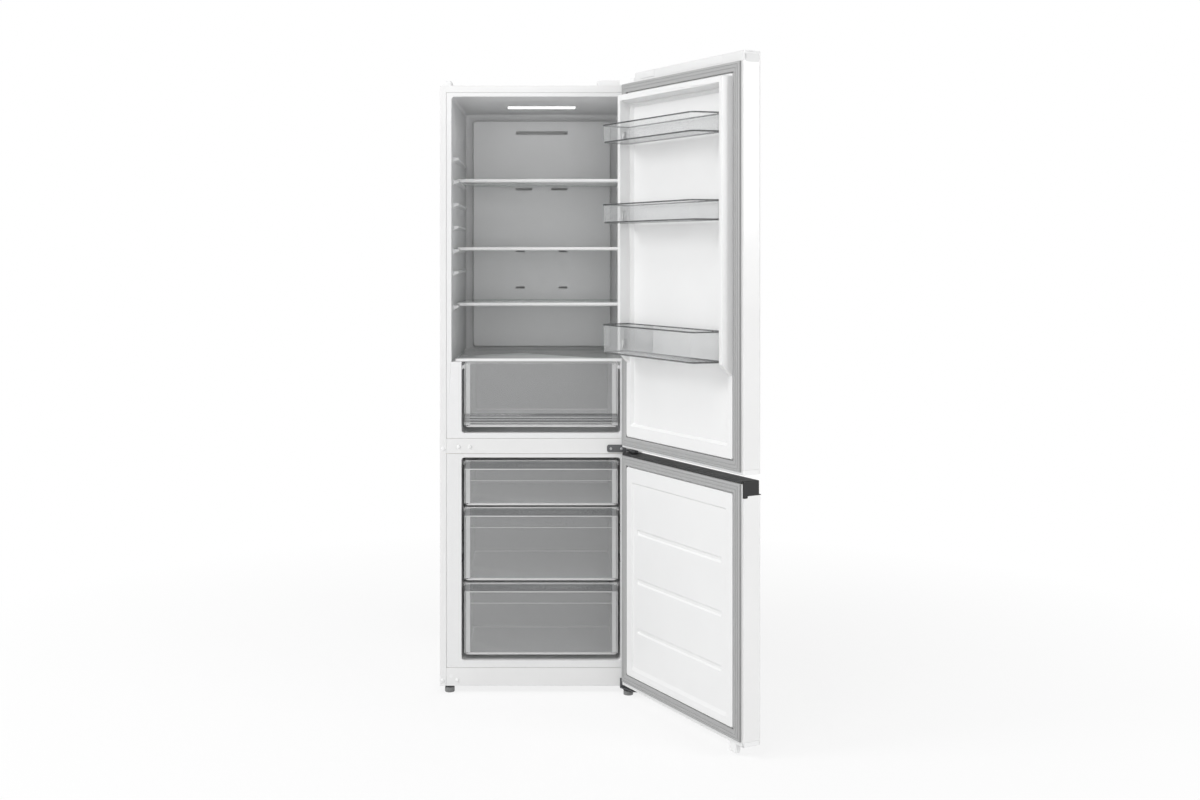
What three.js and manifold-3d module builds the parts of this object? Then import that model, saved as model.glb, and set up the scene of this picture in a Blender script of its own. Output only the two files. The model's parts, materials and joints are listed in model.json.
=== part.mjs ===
// A free-standing bottom-freezer refrigerator with both doors standing open, in millimetres.
// +X is to the right for someone facing the cabinet, +Y runs back into it and +Z is up.
// It is laid out from the middle of the cabinet's front plane at floor level, with the doors drawn
// closed and then turned about their hinge axis; at the end the whole group is centred over the origin.
import * as THREE from "three";
import { mergeVertices } from "three/addons/utils/BufferGeometryUtils.js";
import Module from "manifold-3d";

const wasm = await Module();
wasm.setup();

// ---------------------------------------------------------------- driving dimensions
// clearances and sheet thicknesses
const SEAT_GAP = 0.3; // between pieces that touch
const RUN_GAP = 0.5; // between pieces that slide or turn on each other
const STEEL = 0.8; // painted steel sheet
const LINER_WALL = 1.8; // vacuum-formed cabinet liners
const DOOR_LINER_WALL = 1.5;

// cabinet, with its front seen from bottom to top
const CABINET_WIDTH = 595;
const CABINET_DEPTH = 570;
const CABINET_BASE = 20; // underside above the floor
const BASE_RAIL_HEIGHT = 53.5;
const FREEZER_SILL = 21; // liner border below the freezer
const FREEZER_HEIGHT = 597;
const LINER_BORDER = 12; // liner border above each compartment
const MULLION_HEIGHT = 44.5;
const FRIDGE_SILL = 15.5;
const FRIDGE_HEIGHT = 990;
const TOP_FLANGE = 20.5; // steel showing above the fridge liner
const SIDE_FLANGE = 18.5; // steel showing beside the liners
const FLANGE_LIP = 8; // edge turned back into the foam
const REAR_FLANGE = 12;
const CABINET_CORNER = 6;
const FRIDGE_SIDE_WALL = 34; // shell to fridge opening
const FREEZER_SIDE_WALL = 63.5; // shell to freezer and crisper opening
const BACK_WALL = 70; // foam and sheets behind both compartments
const CRISPER_BAY_HEIGHT = 209.5;
const LINER_DRAFT = 9.7; // how far a side leans in over the whole depth
const LINER_CORNER = 9;
const LINER_BACK_FILLET = 14;
const LAMP_WIDTH = 226;
const LAMP_LENGTH = 80;
const LAMP_SETBACK = 270;
const LAMP_POCKET = 12;
const BACK_SWAGE_COUNT = 5;
const BACK_SWAGE_WIDTH = 26;
const BACK_SWAGE_HEIGHT = 0.8;

// machine compartment
const MACHINE_DEPTH = 190;
const MACHINE_HEIGHT = 215;
const MACHINE_WALL = 50; // foam between the machine compartment and the freezer
const PAN_SHEET = 2;
const PAN_RIM = 16;
const PAN_CLEARANCE = 4; // pan rim above the shell's bottom edge
const ROLLER_DIAMETER = 32;
const ROLLER_WIDTH = 18;
const ROLLER_INSET = 42; // from the cabinet's side to the roller's middle
const ROLLER_SETBACK = 34; // from the cabinet's back
const ROLLER_AXLE = 6;
const ROLLER_CLEARANCE = 3;
const FORK_WALL = 3;
const COMPRESSOR_DIAMETER = 150;
const COMPRESSOR_HEIGHT = 138;
const COMPRESSOR_X = 70;
const COMPRESSOR_STAND = 14; // rubber feet
const DRIP_TRAY_HEIGHT = 26;
const DRIP_TRAY_WIDTH = 170;
const DRIP_TRAY_DEPTH = 124;
const COVER_SLOTS = 9;
const COVER_SLOT_HEIGHT = 5;
const COVER_SLOT_WIDTH = 105;

// doors and hinges
const DOOR_OPEN_ANGLE = 118.3; // degrees, as the doors stand
const DOOR_GAP = 10; // cabinet front plane to the door's body
const DOOR_THICKNESS = 54.5;
const DOOR_RISE = 25; // upper door above the cabinet
const LOWER_DOOR_OVERLAP = 7.5; // lower door's top above the mullion's lower edge
const DOOR_SPLIT = 15.5; // gap between the doors
const LOWER_DOOR_LIFT = 13; // lower door's bottom above the shell's
const DOOR_CORNER = 6;
const SKIN_RETURN = 9; // skin edge turned in behind the liner
const SKIN_WRAP = 7; // skin beside the end caps
const HINGE_INSET = 24; // axis from the cabinet's side
const HINGE_OFFSET = 38; // axis in front of the cabinet's front plane
const HINGE_PIN = 8;
const HINGE_PLATE = 3;
const PIN_CLEARANCE = 0.4; // radial
const PIN_BOSS = 24;
const TOP_CAP_HEIGHT = 26;
const BOTTOM_CAP_HEIGHT = 12;
const CAP_NOTCH_WIDTH = 70; // room for the top hinge
const CAP_NOTCH_DEPTH = 47;
const DOOR_LINER_FLANGE = 8.2; // liner flange in front of the cabinet plane
const DOOR_LINER_EDGE = 4; // liner edge from the door's side
const PLATEAU_INSET = 36; // raised middle of the door liner, from the door's side
const PLATEAU_FACE = 1.2; // its face, in front of the cabinet plane
const POCKET_BEVEL = 5;
const UPPER_POCKET_DEPTH = 9;
const UPPER_POCKET_INSET = 61;
const LOWER_POCKET_DEPTH = 4;
const LOWER_POCKET_INSET = 66;
const LOWER_POCKET_SILL = 24;
const LOWER_POCKET_HEAD = 45;
const DYKE_INSET = 38;
const DYKE_WIDTH = 17;
const DYKE_PROJECTION = 30; // crest behind the cabinet's front plane
const DYKE_DRAFT = 1.5;
const DYKE_FOOT = 244; // lower end of the side dykes above the door's bottom
const DYKE_FOOT_SLOPE = 36;
const TOP_DYKE_WIDTH = 17;
const TOP_DYKE_SLOPE = 8;
const GROOVE_LEVELS = [180.5, 322.5, 463]; // lower door liner, above the door's bottom
const GROOVE_HEIGHT = 13;
const GROOVE_DEPTH = 2.5;
const GROOVE_INSET = 90;
const GASKET_WIDTH = 26;
const GASKET_SIDE_INSET = 8;
const GASKET_END_INSET = 7.5;
const GASKET_TOP_SETBACK = 2; // below the cabinet's top
const GASKET_BOTTOM_SETBACK = 12; // above the lower door's bottom

// recessed handle along the top of the lower door
const HANDLE_HEIGHT = 38; // door top to the skin's upper edge
const HANDLE_WALL = 2;
const HANDLE_SETBACK = 6; // roof edge behind the skin
const HANDLE_POCKET = 31; // front to back
const HANDLE_WELL = 21; // below the skin's upper edge
const HANDLE_BACK_FLANGE = 7;
const HANDLE_END_PLATE = 6;
const HANDLE_PLUG = 8;
const HINGE_PLUG_WIDTH = 50;
const END_TAB_WIDTH = 12;
const END_TAB_HEIGHT = 6;

// lift block under the lower door
const BLOCK_INSET = 33; // from the door's free side
const BLOCK_WIDTH = 31;
const BLOCK_DEPTH = 17;
const BLOCK_DROP = 25;

// fittings inside the fridge
const HIGH_SHELF = 747.5; // top of the ledge that carries it, above the fridge's floor
const MIDDLE_SHELF = 541.5;
const LOW_SHELF = 373.5;
const SPARE_LEDGES = [475.5, 611.5, 679.5, 815.5];
const LEDGE_REACH = 17.5; // from the opening's side to the ledge's nose
const LEDGE_HEIGHT = 7;
const LEDGE_SETBACK = 58;
const LEDGE_BACK_GAP = 42;
const GLASS = 4;
const SHELF_SIDE_GAP = 11; // opening's side to the shelf
const SHELF_SETBACK = 112;
const SHELF_TRIM_HEIGHT = 10;
const SHELF_TRIM_DEPTH = 14;
const COVER_SETBACK = 9; // crisper cover behind the front plane
const COVER_TRIM_HEIGHT = 10;
const COVER_TRIM_DEPTH = 12;
const DUCT_PANEL_SIDE_GAP = 36.5;
const DUCT_PANEL_THICKNESS = 22;
const DUCT_PANEL_TOP_GAP = 25.5;
const DUCT_PANEL_LIFT = 12; // above the crisper's ledge
const DUCT_CHANNEL_WIDTH = 220;
const DUCT_FACE = 3;

// drawers
const DRAWER_SETBACK = 10;
const DRAWER_FACE_GAP = 6; // beside the drawer's face
const DRAWER_FACE = 3;
const DRAWER_WALL = 2.4;
const DRAWER_LIP = 5.2;
const DRAWER_LIP_HEIGHT = 7;
const DRAWER_DRAFT = 7;
const DRAWER_CORNER = 14;
const RUNNER_NOSE = 13.5; // runner projecting from the liner's side at the front
const RUNNER_HEIGHT = 8;
const CRISPER_LIFT = 17; // crisper drawer above the fridge's floor
const CRISPER_HEADROOM = 3; // and below its cover
const CRISPER_BACK_GAP = 50;
const FREEZER_DRAWER_LIFT = 15; // lowest drawer above the freezer's floor
const LOW_DRAWER_HEIGHT = 211;
const LOW_DRAWER_HEADROOM = 8;
const MIDDLE_DRAWER_HEIGHT = 215;
const MIDDLE_DRAWER_HEADROOM = 6.2;
const TOP_DRAWER_HEADROOM = 9.8;
const FREEZER_BACK_GAP = 20;

// door bins
const BIN_FRONT = 103; // front of a bin behind the cabinet's front plane
const BIN_BACK_GAP = 2; // behind the raised middle of the liner
const BIN_SIDE_GAP = 2; // to the dykes
const BIN_FRONT_INSET = 12; // each end tapers in by this much
const BIN_CORNER = 20;
const BIN_WALL = 2.2;
const BIN_DRAFT = 3;
const BIN_RIM = 3;
const TOP_BIN_DROP = 149; // fridge's ceiling to the bin's bottom
const TOP_BIN_HEIGHT = 52;
const MIDDLE_BIN_RISE = 651; // bin's bottom above the door's
const MIDDLE_BIN_HEIGHT = 54;
const LOW_BIN_RISE = 283;
const LOW_BIN_HEIGHT = 82.5;
const LUG_PROJECTION = 5;
const LUG_WIDTH = 10;
const LUG_HEIGHT = 26;
const LUG_RISE = 9; // above the bin's bottom
const LUG_SETBACK = 14; // behind the cabinet's front plane

// feet
const FOOT_DIAMETER = 28;
const FOOT_STEM = 8;
const FOOT_NUT = 30;
const FOOT_LEFT_INSET = 28.5; // from the cabinet's side
const FOOT_LEFT_SETBACK = 14; // behind the cabinet's front plane
const FOOT_RIGHT_INSET = 41.5;
const FOOT_RIGHT_PROJECTION = 15; // in front of it

// freezer air system
const COIL_SIDE_GAP = 44;
const COIL_HEIGHT = 190;
const COIL_FINS = 15;
const COIL_TUBE = 9;
const COIL_ROWS = 5;
const FREEZER_PANEL_DEPTH = 78; // air chamber behind the freezer's rear panel
const FREEZER_PANEL_WALL = 2.5;
const FAN_DIAMETER = 96;
const FAN_BLADES = 5;
const FAN_HUB = 30;
const FAN_WIDTH = 22;
const FAN_SHAFT = 5;

// ---------------------------------------------------------------- levels that follow from them
const half = CABINET_WIDTH / 2;
const railTop = CABINET_BASE + BASE_RAIL_HEIGHT;
const freezerFloor = railTop + FREEZER_SILL;
const freezerCeiling = freezerFloor + FREEZER_HEIGHT;
const mullionBottom = freezerCeiling + LINER_BORDER;
const mullionTop = mullionBottom + MULLION_HEIGHT;
const fridgeFloor = mullionTop + FRIDGE_SILL;
const crisperLedge = fridgeFloor + CRISPER_BAY_HEIGHT;
const fridgeCeiling = fridgeFloor + FRIDGE_HEIGHT;
const linerTop = fridgeCeiling + LINER_BORDER;
const cabinetTop = linerTop + TOP_FLANGE;
const fridgeHalf = half - FRIDGE_SIDE_WALL;
const freezerHalf = half - FREEZER_SIDE_WALL;
const linerBack = CABINET_DEPTH - BACK_WALL;
const machineFront = CABINET_DEPTH - MACHINE_DEPTH;
const machineTop = CABINET_BASE + MACHINE_HEIGHT;
const humpFront = machineFront - MACHINE_WALL;
const humpTop = machineTop + MACHINE_WALL;
const lowerDoorBottom = CABINET_BASE + LOWER_DOOR_LIFT;
const lowerDoorTop = mullionBottom + LOWER_DOOR_OVERLAP;
const upperDoorBottom = lowerDoorTop + DOOR_SPLIT;
const upperDoorTop = cabinetTop + DOOR_RISE;
const doorBack = -DOOR_GAP;
const doorFront = -(DOOR_GAP + DOOR_THICKNESS);
const hinge = new THREE.Vector2(half - HINGE_INSET, -HINGE_OFFSET);
const skinInside = STEEL + SEAT_GAP; // from a steel face to the foam behind it
const ARC_STEPS = 3; // facets in a quarter turn
const shelfLevels = [HIGH_SHELF, MIDDLE_SHELF, LOW_SHELF].map((rise) => fridgeFloor + rise);
const spareLevels = SPARE_LEDGES.map((rise) => fridgeFloor + rise);
const ledgeNose = fridgeHalf - LEDGE_REACH;
const footLeft = { x: FOOT_LEFT_INSET - half, y: FOOT_LEFT_SETBACK };
const footRight = { x: half - FOOT_RIGHT_INSET, y: -FOOT_RIGHT_PROJECTION };
const bins = [
  { name: "door_bin_top", bottom: fridgeCeiling - TOP_BIN_DROP, height: TOP_BIN_HEIGHT },
  { name: "door_bin_middle", bottom: upperDoorBottom + MIDDLE_BIN_RISE, height: MIDDLE_BIN_HEIGHT },
  { name: "door_bin_bottom", bottom: upperDoorBottom + LOW_BIN_RISE, height: LOW_BIN_HEIGHT },
];

const crisperDrawer = {
  bottom: fridgeFloor + CRISPER_LIFT,
  height: CRISPER_BAY_HEIGHT - CRISPER_LIFT - CRISPER_HEADROOM,
  depth: linerBack - CRISPER_BACK_GAP - DRAWER_SETBACK,
};
const lowDrawerBottom = freezerFloor + FREEZER_DRAWER_LIFT;
const middleDrawerBottom = lowDrawerBottom + LOW_DRAWER_HEIGHT + LOW_DRAWER_HEADROOM;
const topDrawerBottom = middleDrawerBottom + MIDDLE_DRAWER_HEIGHT + MIDDLE_DRAWER_HEADROOM;
const freezerDrawerDepth = linerBack - FREEZER_PANEL_DEPTH - FREEZER_BACK_GAP - DRAWER_SETBACK;
const freezerDrawers = [
  {
    name: "freezer_drawer_bottom",
    bottom: lowDrawerBottom,
    height: LOW_DRAWER_HEIGHT,
    depth: humpFront - FREEZER_BACK_GAP - DRAWER_SETBACK,
  },
  {
    name: "freezer_drawer_middle",
    bottom: middleDrawerBottom,
    height: MIDDLE_DRAWER_HEIGHT,
    depth: freezerDrawerDepth,
  },
  {
    name: "freezer_drawer_top",
    bottom: topDrawerBottom,
    height: freezerCeiling - TOP_DRAWER_HEADROOM - topDrawerBottom,
    depth: freezerDrawerDepth,
  },
];

// ---------------------------------------------------------------- materials
const paint = (color, roughness, metalness = 0, opacity = 1) =>
  new THREE.MeshStandardMaterial({ color, roughness, metalness, opacity, transparent: opacity < 1 });
const MATERIALS = {
  steelWhite: paint(0xf0f0ef, 0.32, 0.1),
  linerWhite: paint(0xeef0f0, 0.4),
  liner: paint(0xd9dcde, 0.42),
  trimWhite: paint(0xf4f5f5, 0.4),
  gasket: paint(0xc3c4c4, 0.7),
  foam: paint(0xe9dcb0, 0.9),
  glass: paint(0xdfeaea, 0.08, 0, 0.35),
  clear: paint(0xdde3e6, 0.15, 0, 0.4),
  smoke: paint(0x8f979c, 0.15, 0, 0.45),
  lens: paint(0xffffff, 0.3),
  darkGrip: paint(0x343434, 0.45),
  hingeSteel: paint(0x5c5d5f, 0.4, 0.8),
  zinc: paint(0xb9bbbd, 0.4, 0.8),
  black: paint(0x1c1c1d, 0.5),
  footGrey: paint(0x8b8c8c, 0.55),
  rollerGrey: paint(0x2c2d2e, 0.6),
  aluminium: paint(0xc9cccf, 0.35, 0.9),
};

// ---------------------------------------------------------------- solids
// A closed geometry as a solid: shared corners are merged, and one that is inside out is turned round.
function solidOf(geometry) {
  const bare = geometry.clone();
  bare.deleteAttribute("normal");
  bare.deleteAttribute("uv");
  const merged = mergeVertices(bare);
  const corners = merged.index.array;
  const faces = [];
  for (let i = 0; i < corners.length; i += 3) {
    const [a, b, c] = [corners[i], corners[i + 1], corners[i + 2]];
    if (a !== b && b !== c && c !== a) faces.push([a, b, c]);
  }
  const make = (list) =>
    new wasm.Manifold(
      new wasm.Mesh({
        numProp: 3,
        vertProperties: merged.attributes.position.array,
        triVerts: new Uint32Array(list.flat()),
      }),
    );
  const solid = make(faces);
  return solid.volume() < 0 ? make(faces.map(([a, b, c]) => [a, c, b])) : solid;
}

function geometryOf(solid) {
  const { vertProperties, triVerts } = solid.getMesh();
  const geometry = new THREE.BufferGeometry();
  geometry.setAttribute("position", new THREE.BufferAttribute(vertProperties, 3));
  geometry.setIndex(new THREE.BufferAttribute(triVerts, 1));
  geometry.computeVertexNormals();
  return geometry;
}

const join = (first, ...others) => others.reduce((sum, next) => sum.add(next), first);
const cut = (body, ...tools) => tools.reduce((rest, tool) => rest.subtract(tool), body);

function meshOf(name, solid, material) {
  const mesh = new THREE.Mesh(geometryOf(solid), material);
  mesh.name = name;
  return mesh;
}

// A flat outline carried along one axis: its own x and y lie along the first two directions named.
function extrude(shape, length, xAxis, yAxis, zAxis, origin) {
  const geometry = new THREE.ExtrudeGeometry(shape, {
    depth: length,
    bevelEnabled: false,
    curveSegments: ARC_STEPS / 2,
  });
  geometry.applyMatrix4(new THREE.Matrix4().makeBasis(xAxis, yAxis, zAxis).setPosition(origin));
  return solidOf(geometry);
}
const X = new THREE.Vector3(1, 0, 0);
const Y = new THREE.Vector3(0, 1, 0);
const Z = new THREE.Vector3(0, 0, 1);
const BACKWARD_Y = new THREE.Vector3(0, -1, 0);
// outline in x and y
const alongZ = (shape, z0, z1) => extrude(shape, z1 - z0, X, Y, Z, new THREE.Vector3(0, 0, z0));
// outline in x and z
const alongY = (shape, y0, y1) =>
  extrude(shape, y1 - y0, X, Z, BACKWARD_Y, new THREE.Vector3(0, y1, 0));
// outline in y and z
const alongX = (shape, x0, x1) => extrude(shape, x1 - x0, Y, Z, X, new THREE.Vector3(x0, 0, 0));

// A rectangle with rounded corners, as an outline.
function plate(a0, a1, b0, b1, radius = 0) {
  const shape = new THREE.Shape();
  if (radius <= 0)
    return shape.moveTo(a0, b0).lineTo(a1, b0).lineTo(a1, b1).lineTo(a0, b1).closePath();
  shape.moveTo(a0 + radius, b0);
  shape.lineTo(a1 - radius, b0);
  shape.absarc(a1 - radius, b0 + radius, radius, -Math.PI / 2, 0);
  shape.lineTo(a1, b1 - radius);
  shape.absarc(a1 - radius, b1 - radius, radius, 0, Math.PI / 2);
  shape.lineTo(a0 + radius, b1);
  shape.absarc(a0 + radius, b1 - radius, radius, Math.PI / 2, Math.PI);
  shape.lineTo(a0, b0 + radius);
  shape.absarc(a0 + radius, b0 + radius, radius, Math.PI, 1.5 * Math.PI);
  return shape;
}

const polygon = (points) => new THREE.Shape(points.map(([a, b]) => new THREE.Vector2(a, b)));

const block = (x0, x1, y0, y1, z0, z1) => alongZ(plate(x0, x1, y0, y1), z0, z1);

// A round bar from one point to another, standing along an axis.
function rod(radius, from, to, sides = 16) {
  const axis = new THREE.Vector3().subVectors(to, from);
  const geometry = new THREE.CylinderGeometry(radius, radius, axis.length(), sides);
  const turn = new THREE.Quaternion().setFromUnitVectors(Y, axis.clone().normalize());
  geometry.applyQuaternion(turn);
  geometry.translate(...from.clone().add(to).multiplyScalar(0.5).toArray());
  return solidOf(geometry);
}

const upright = (radius, x, y, z0, z1, sides = 16) =>
  rod(radius, new THREE.Vector3(x, y, z0), new THREE.Vector3(x, y, z1), sides);

// The corners of a rounded rectangle in order, each placed in space by the caller.
function roundedRing([a0, a1, b0, b1], radius, place) {
  const r = Math.max(radius, 0.05);
  const centres = [
    [a1 - r, b1 - r],
    [a0 + r, b1 - r],
    [a0 + r, b0 + r],
    [a1 - r, b0 + r],
  ];
  return centres.flatMap(([a, b], quarter) =>
    Array.from({ length: ARC_STEPS + 1 }, (_, i) => {
      const angle = ((quarter + i / ARC_STEPS) * Math.PI) / 2;
      return place(a + r * Math.cos(angle), b + r * Math.sin(angle));
    }),
  );
}

// A skin over rings that all hold the same number of points: open lofts get flat ends,
// and a loft that closes on itself joins its last ring to its first.
function loft(rings, closesOnItself = false) {
  const count = rings[0].length;
  const index = [];
  const spans = closesOnItself ? rings.length : rings.length - 1;
  for (let ring = 0; ring < spans; ring++)
    for (let i = 0; i < count; i++) {
      const next = (i + 1) % count;
      const here = ring * count;
      const there = ((ring + 1) % rings.length) * count;
      index.push(here + i, here + next, there + next, here + i, there + next, there + i);
    }
  const last = (rings.length - 1) * count;
  if (!closesOnItself)
    for (let i = 1; i + 1 < count; i++)
      index.push(0, i + 1, i, last, last + i, last + i + 1);
  const geometry = new THREE.BufferGeometry();
  const positions = rings.flat().flatMap((point) => point.toArray());
  geometry.setAttribute("position", new THREE.Float32BufferAttribute(positions, 3));
  geometry.setIndex(index);
  return solidOf(geometry);
}

const inDepth = (y) => (x, z) => new THREE.Vector3(x, y, z);
const atHeight = (z) => (x, y) => new THREE.Vector3(x, y, z);
const shrink = ([a0, a1, b0, b1], by) => [a0 + by, a1 - by, b0 + by, b1 - by];

// A block that tapers between two rectangles in x and z, at two depths.
const taper = (near, yNear, far, yFar, radius) =>
  loft([roundedRing(near, radius, inDepth(yNear)), roundedRing(far, radius, inDepth(yFar))]);

// ---------------------------------------------------------------- cabinet shell and frame
// The cabinet seen from the front, drawn in from the shell's outside by so much at the sides and top.
function archShape(sideInset, topInset, base = CABINET_BASE) {
  const radius = Math.max(CABINET_CORNER - Math.min(sideInset, topInset), 0.5);
  const x = half - sideInset;
  const top = cabinetTop - topInset;
  const shape = new THREE.Shape();
  shape.moveTo(-x, base);
  shape.lineTo(x, base);
  shape.lineTo(x, top - radius);
  shape.absarc(x - radius, top - radius, radius, 0, Math.PI / 2);
  shape.lineTo(-x + radius, top);
  shape.absarc(-x + radius, top - radius, radius, Math.PI / 2, Math.PI);
  return shape;
}

// The band between two such arches, open at the bottom, over a range of depth.
const archBand = (outer, inner, y0, y1) =>
  cut(
    alongY(archShape(...outer), y0, y1),
    alongY(archShape(...inner, CABINET_BASE - 1), y0 - 1, y1 + 1),
  );

// The flanges start inside the sheet they are bent from, so that its outside stays whole.
function cabinetShell() {
  const root = [STEEL / 2, STEEL / 2];
  const lip = [SIDE_FLANGE - STEEL, TOP_FLANGE - STEEL];
  return join(
    archBand([0, 0], [STEEL, STEEL], 0, CABINET_DEPTH),
    archBand(root, [SIDE_FLANGE - STEEL / 2, TOP_FLANGE - STEEL / 2], 0, STEEL),
    archBand(lip, [SIDE_FLANGE, TOP_FLANGE], 0, FLANGE_LIP),
    archBand(root, [REAR_FLANGE, REAR_FLANGE], CABINET_DEPTH - STEEL, CABINET_DEPTH),
  );
}

const backPanelFront = CABINET_DEPTH - 2 * STEEL - SEAT_GAP;

// A flat sheet inside the shell's rear flange, stiffened by pressed bars.
function backPanel() {
  const top = cabinetTop - skinInside;
  const outline = archShape(skinInside, skinInside, machineTop);
  let panel = alongY(outline, backPanelFront, backPanelFront + STEEL);
  const clearHalf = half - REAR_FLANGE - BACK_SWAGE_WIDTH;
  for (let i = 0; i < BACK_SWAGE_COUNT; i++) {
    const centre = clearHalf * ((2 * (i + 0.5)) / BACK_SWAGE_COUNT - 1);
    const base = [centre - BACK_SWAGE_WIDTH / 2, centre + BACK_SWAGE_WIDTH / 2];
    const swage = [...base, machineTop + 2 * BACK_SWAGE_WIDTH, top - 2 * BACK_SWAGE_WIDTH];
    const face = backPanelFront + STEEL;
    const crest = shrink(swage, 2 * BACK_SWAGE_HEIGHT);
    const bar = taper(swage, face - STEEL / 2, crest, face + BACK_SWAGE_HEIGHT, BACK_SWAGE_WIDTH / 3);
    panel = panel.add(bar);
  }
  return panel;
}

// One sheet bent under the freezer, up the slope in front of the machinery and back over it.
const floorPlateTop = CABINET_BASE + 3 * STEEL + SEAT_GAP;
const FLOOR_PLATE_START = 24;
const machineSlope = 40;
const floorOutline = (offset) => [
  [FLOOR_PLATE_START, floorPlateTop - offset],
  [machineFront - machineSlope + offset * 0.6, floorPlateTop - offset],
  [machineFront + offset, machineTop - machineSlope],
  [machineFront + offset, machineTop - offset],
  [backPanelFront - SEAT_GAP, machineTop - offset],
];
const floorPlate = () =>
  alongX(
    polygon([...floorOutline(0), ...floorOutline(STEEL).reverse()]),
    -half + skinInside,
    half - skinInside,
  );

// A shallow channel whose web faces the front and whose flanges run back into the foam.
function facingChannel(bottom, top, halfWidth, depth) {
  const outline = plate(0, depth, bottom, top);
  outline.holes.push(plate(STEEL, depth - STEEL, bottom + STEEL, top - STEEL));
  const open = block(-half, half, depth - 2 * STEEL, depth + 1, bottom + STEEL, top - STEEL);
  return cut(alongX(outline, -halfWidth, halfWidth), open);
}

const frameHalf = half - SIDE_FLANGE - SEAT_GAP;
const mullionBar = () =>
  facingChannel(mullionBottom + SEAT_GAP, mullionTop - SEAT_GAP, frameHalf, FLANGE_LIP);

// The base rail is a deeper channel that carries the adjustable feet and the bottom hinge.
const RAIL_DEPTH = 46;
function bottomRail() {
  const profile = polygon([
    [0, CABINET_BASE],
    [RAIL_DEPTH, CABINET_BASE],
    [RAIL_DEPTH, CABINET_BASE + STEEL * 2],
    [STEEL * 2, CABINET_BASE + STEEL * 2],
    [STEEL * 2, railTop - SEAT_GAP - STEEL],
    [FLANGE_LIP, railTop - SEAT_GAP - STEEL],
    [FLANGE_LIP, railTop - SEAT_GAP],
    [0, railTop - SEAT_GAP],
  ]);
  const holes = [footLeft, footRight].map(({ x, y }) =>
    upright(FOOT_STEM / 2 + RUN_GAP, x, y, CABINET_BASE - 1, CABINET_BASE + 3),
  );
  return cut(alongX(profile, -frameHalf, frameHalf), ...holes);
}

// ---------------------------------------------------------------- compartments
// A compartment opening at the front plane, drawn in at the sides towards its rounded back.
function cavity(halfWidth, floor, ceiling, back, grow, front) {
  const lean = (LINER_DRAFT * back) / linerBack;
  const fillet = LINER_BACK_FILLET;
  const ring = (depth, inset) =>
    roundedRing(
      [
        -halfWidth + (lean * depth) / back - grow + inset,
        halfWidth - (lean * depth) / back + grow - inset,
        floor - grow + inset,
        ceiling + grow - inset,
      ],
      LINER_CORNER + grow,
      inDepth(depth),
    );
  const end = back + grow;
  return loft([
    ring(front, 0),
    ring(end - fillet, 0),
    ring(end - fillet * 0.3, fillet * 0.3),
    ring(end, fillet),
  ]);
}

const lampBox = (grow) => [
  -LAMP_WIDTH / 2 - grow,
  LAMP_WIDTH / 2 + grow,
  LAMP_SETBACK - grow,
  LAMP_SETBACK + LAMP_LENGTH + grow,
];

// The step beside the crisper, where its cover lies, meets the side walls squarely.
const stepBack = linerBack - LINER_BACK_FILLET;
function crisperStep(depth, grow) {
  const x = wallAt(fridgeHalf, linerBack, depth) + grow;
  return [-x, x, crisperLedge - grow, crisperLedge + 2 * LINER_CORNER];
}

function fridgeCavity(grow, front) {
  return join(
    cavity(fridgeHalf, crisperLedge, fridgeCeiling, linerBack, grow, front),
    taper(crisperStep(0, grow), front, crisperStep(stepBack, grow), stepBack, 1),
    cavity(freezerHalf, fridgeFloor, crisperLedge + 2 * LINER_BACK_FILLET, linerBack, grow, front),
    alongZ(plate(...lampBox(grow), 4), fridgeCeiling - 8, fridgeCeiling + LAMP_POCKET + grow),
  );
}

const freezerCavity = (grow, front) =>
  join(
    cavity(freezerHalf, freezerFloor, freezerCeiling, humpFront, grow, front),
    cavity(freezerHalf, humpTop, freezerCeiling, linerBack, grow, front),
  );

// Where a compartment's side wall stands at a given depth.
const wallAt = (halfWidth, back, depth) =>
  halfWidth - ((LINER_DRAFT * back) / linerBack) * (depth / back);

// A ledge formed out of a liner's side wall: flat on top, sloped below, straight along its nose.
function ledge(side, halfWidth, back, nose, top, height, y0, y1) {
  const section = (depth) => {
    const root = wallAt(halfWidth, back, depth) + LINER_WALL / 2;
    return [
      new THREE.Vector3(side * root, depth, top - height - (root - nose) * 0.4),
      new THREE.Vector3(side * nose, depth, top - height),
      new THREE.Vector3(side * nose, depth, top),
      new THREE.Vector3(side * root, depth, top),
    ];
  };
  return loft([section(y0), section(y1)]);
}

const bothSides = (make) => join(make(-1), make(1));

function shelfLedges() {
  const levels = [...shelfLevels, ...spareLevels];
  const end = linerBack - LEDGE_BACK_GAP;
  return join(
    ...levels.map((top) =>
      bothSides((side) =>
        ledge(side, fridgeHalf, linerBack, ledgeNose, top, LEDGE_HEIGHT, LEDGE_SETBACK, end),
      ),
    ),
  );
}

// The runner under a drawer's lip, from just behind the drawer's face to its tail.
const runnerTop = ({ bottom, height }) => bottom + height - DRAWER_LIP_HEIGHT - RUN_GAP;
function drawerRunners(drawer, back) {
  const nose = freezerHalf - RUNNER_NOSE;
  const start = DRAWER_SETBACK + DRAWER_FACE + 2;
  const end = DRAWER_SETBACK + drawer.depth;
  return bothSides((side) =>
    ledge(side, freezerHalf, back, nose, runnerTop(drawer), RUNNER_HEIGHT, start, end),
  );
}

// A formed liner: a flange lying behind the steel's turned edge, and the walls of the compartment.
function liner(cavityOf, flangeBottom, flangeTop) {
  const x = half - SIDE_FLANGE - SEAT_GAP;
  const flange = block(-x, x, STEEL, STEEL + LINER_WALL, flangeBottom, flangeTop);
  return cut(join(flange, cavityOf(LINER_WALL, STEEL)), cavityOf(0, -1));
}

const fridgeLiner = () =>
  join(
    liner(fridgeCavity, mullionTop + SEAT_GAP, linerTop - SEAT_GAP),
    shelfLedges(),
    drawerRunners(crisperDrawer, linerBack),
  );

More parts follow.
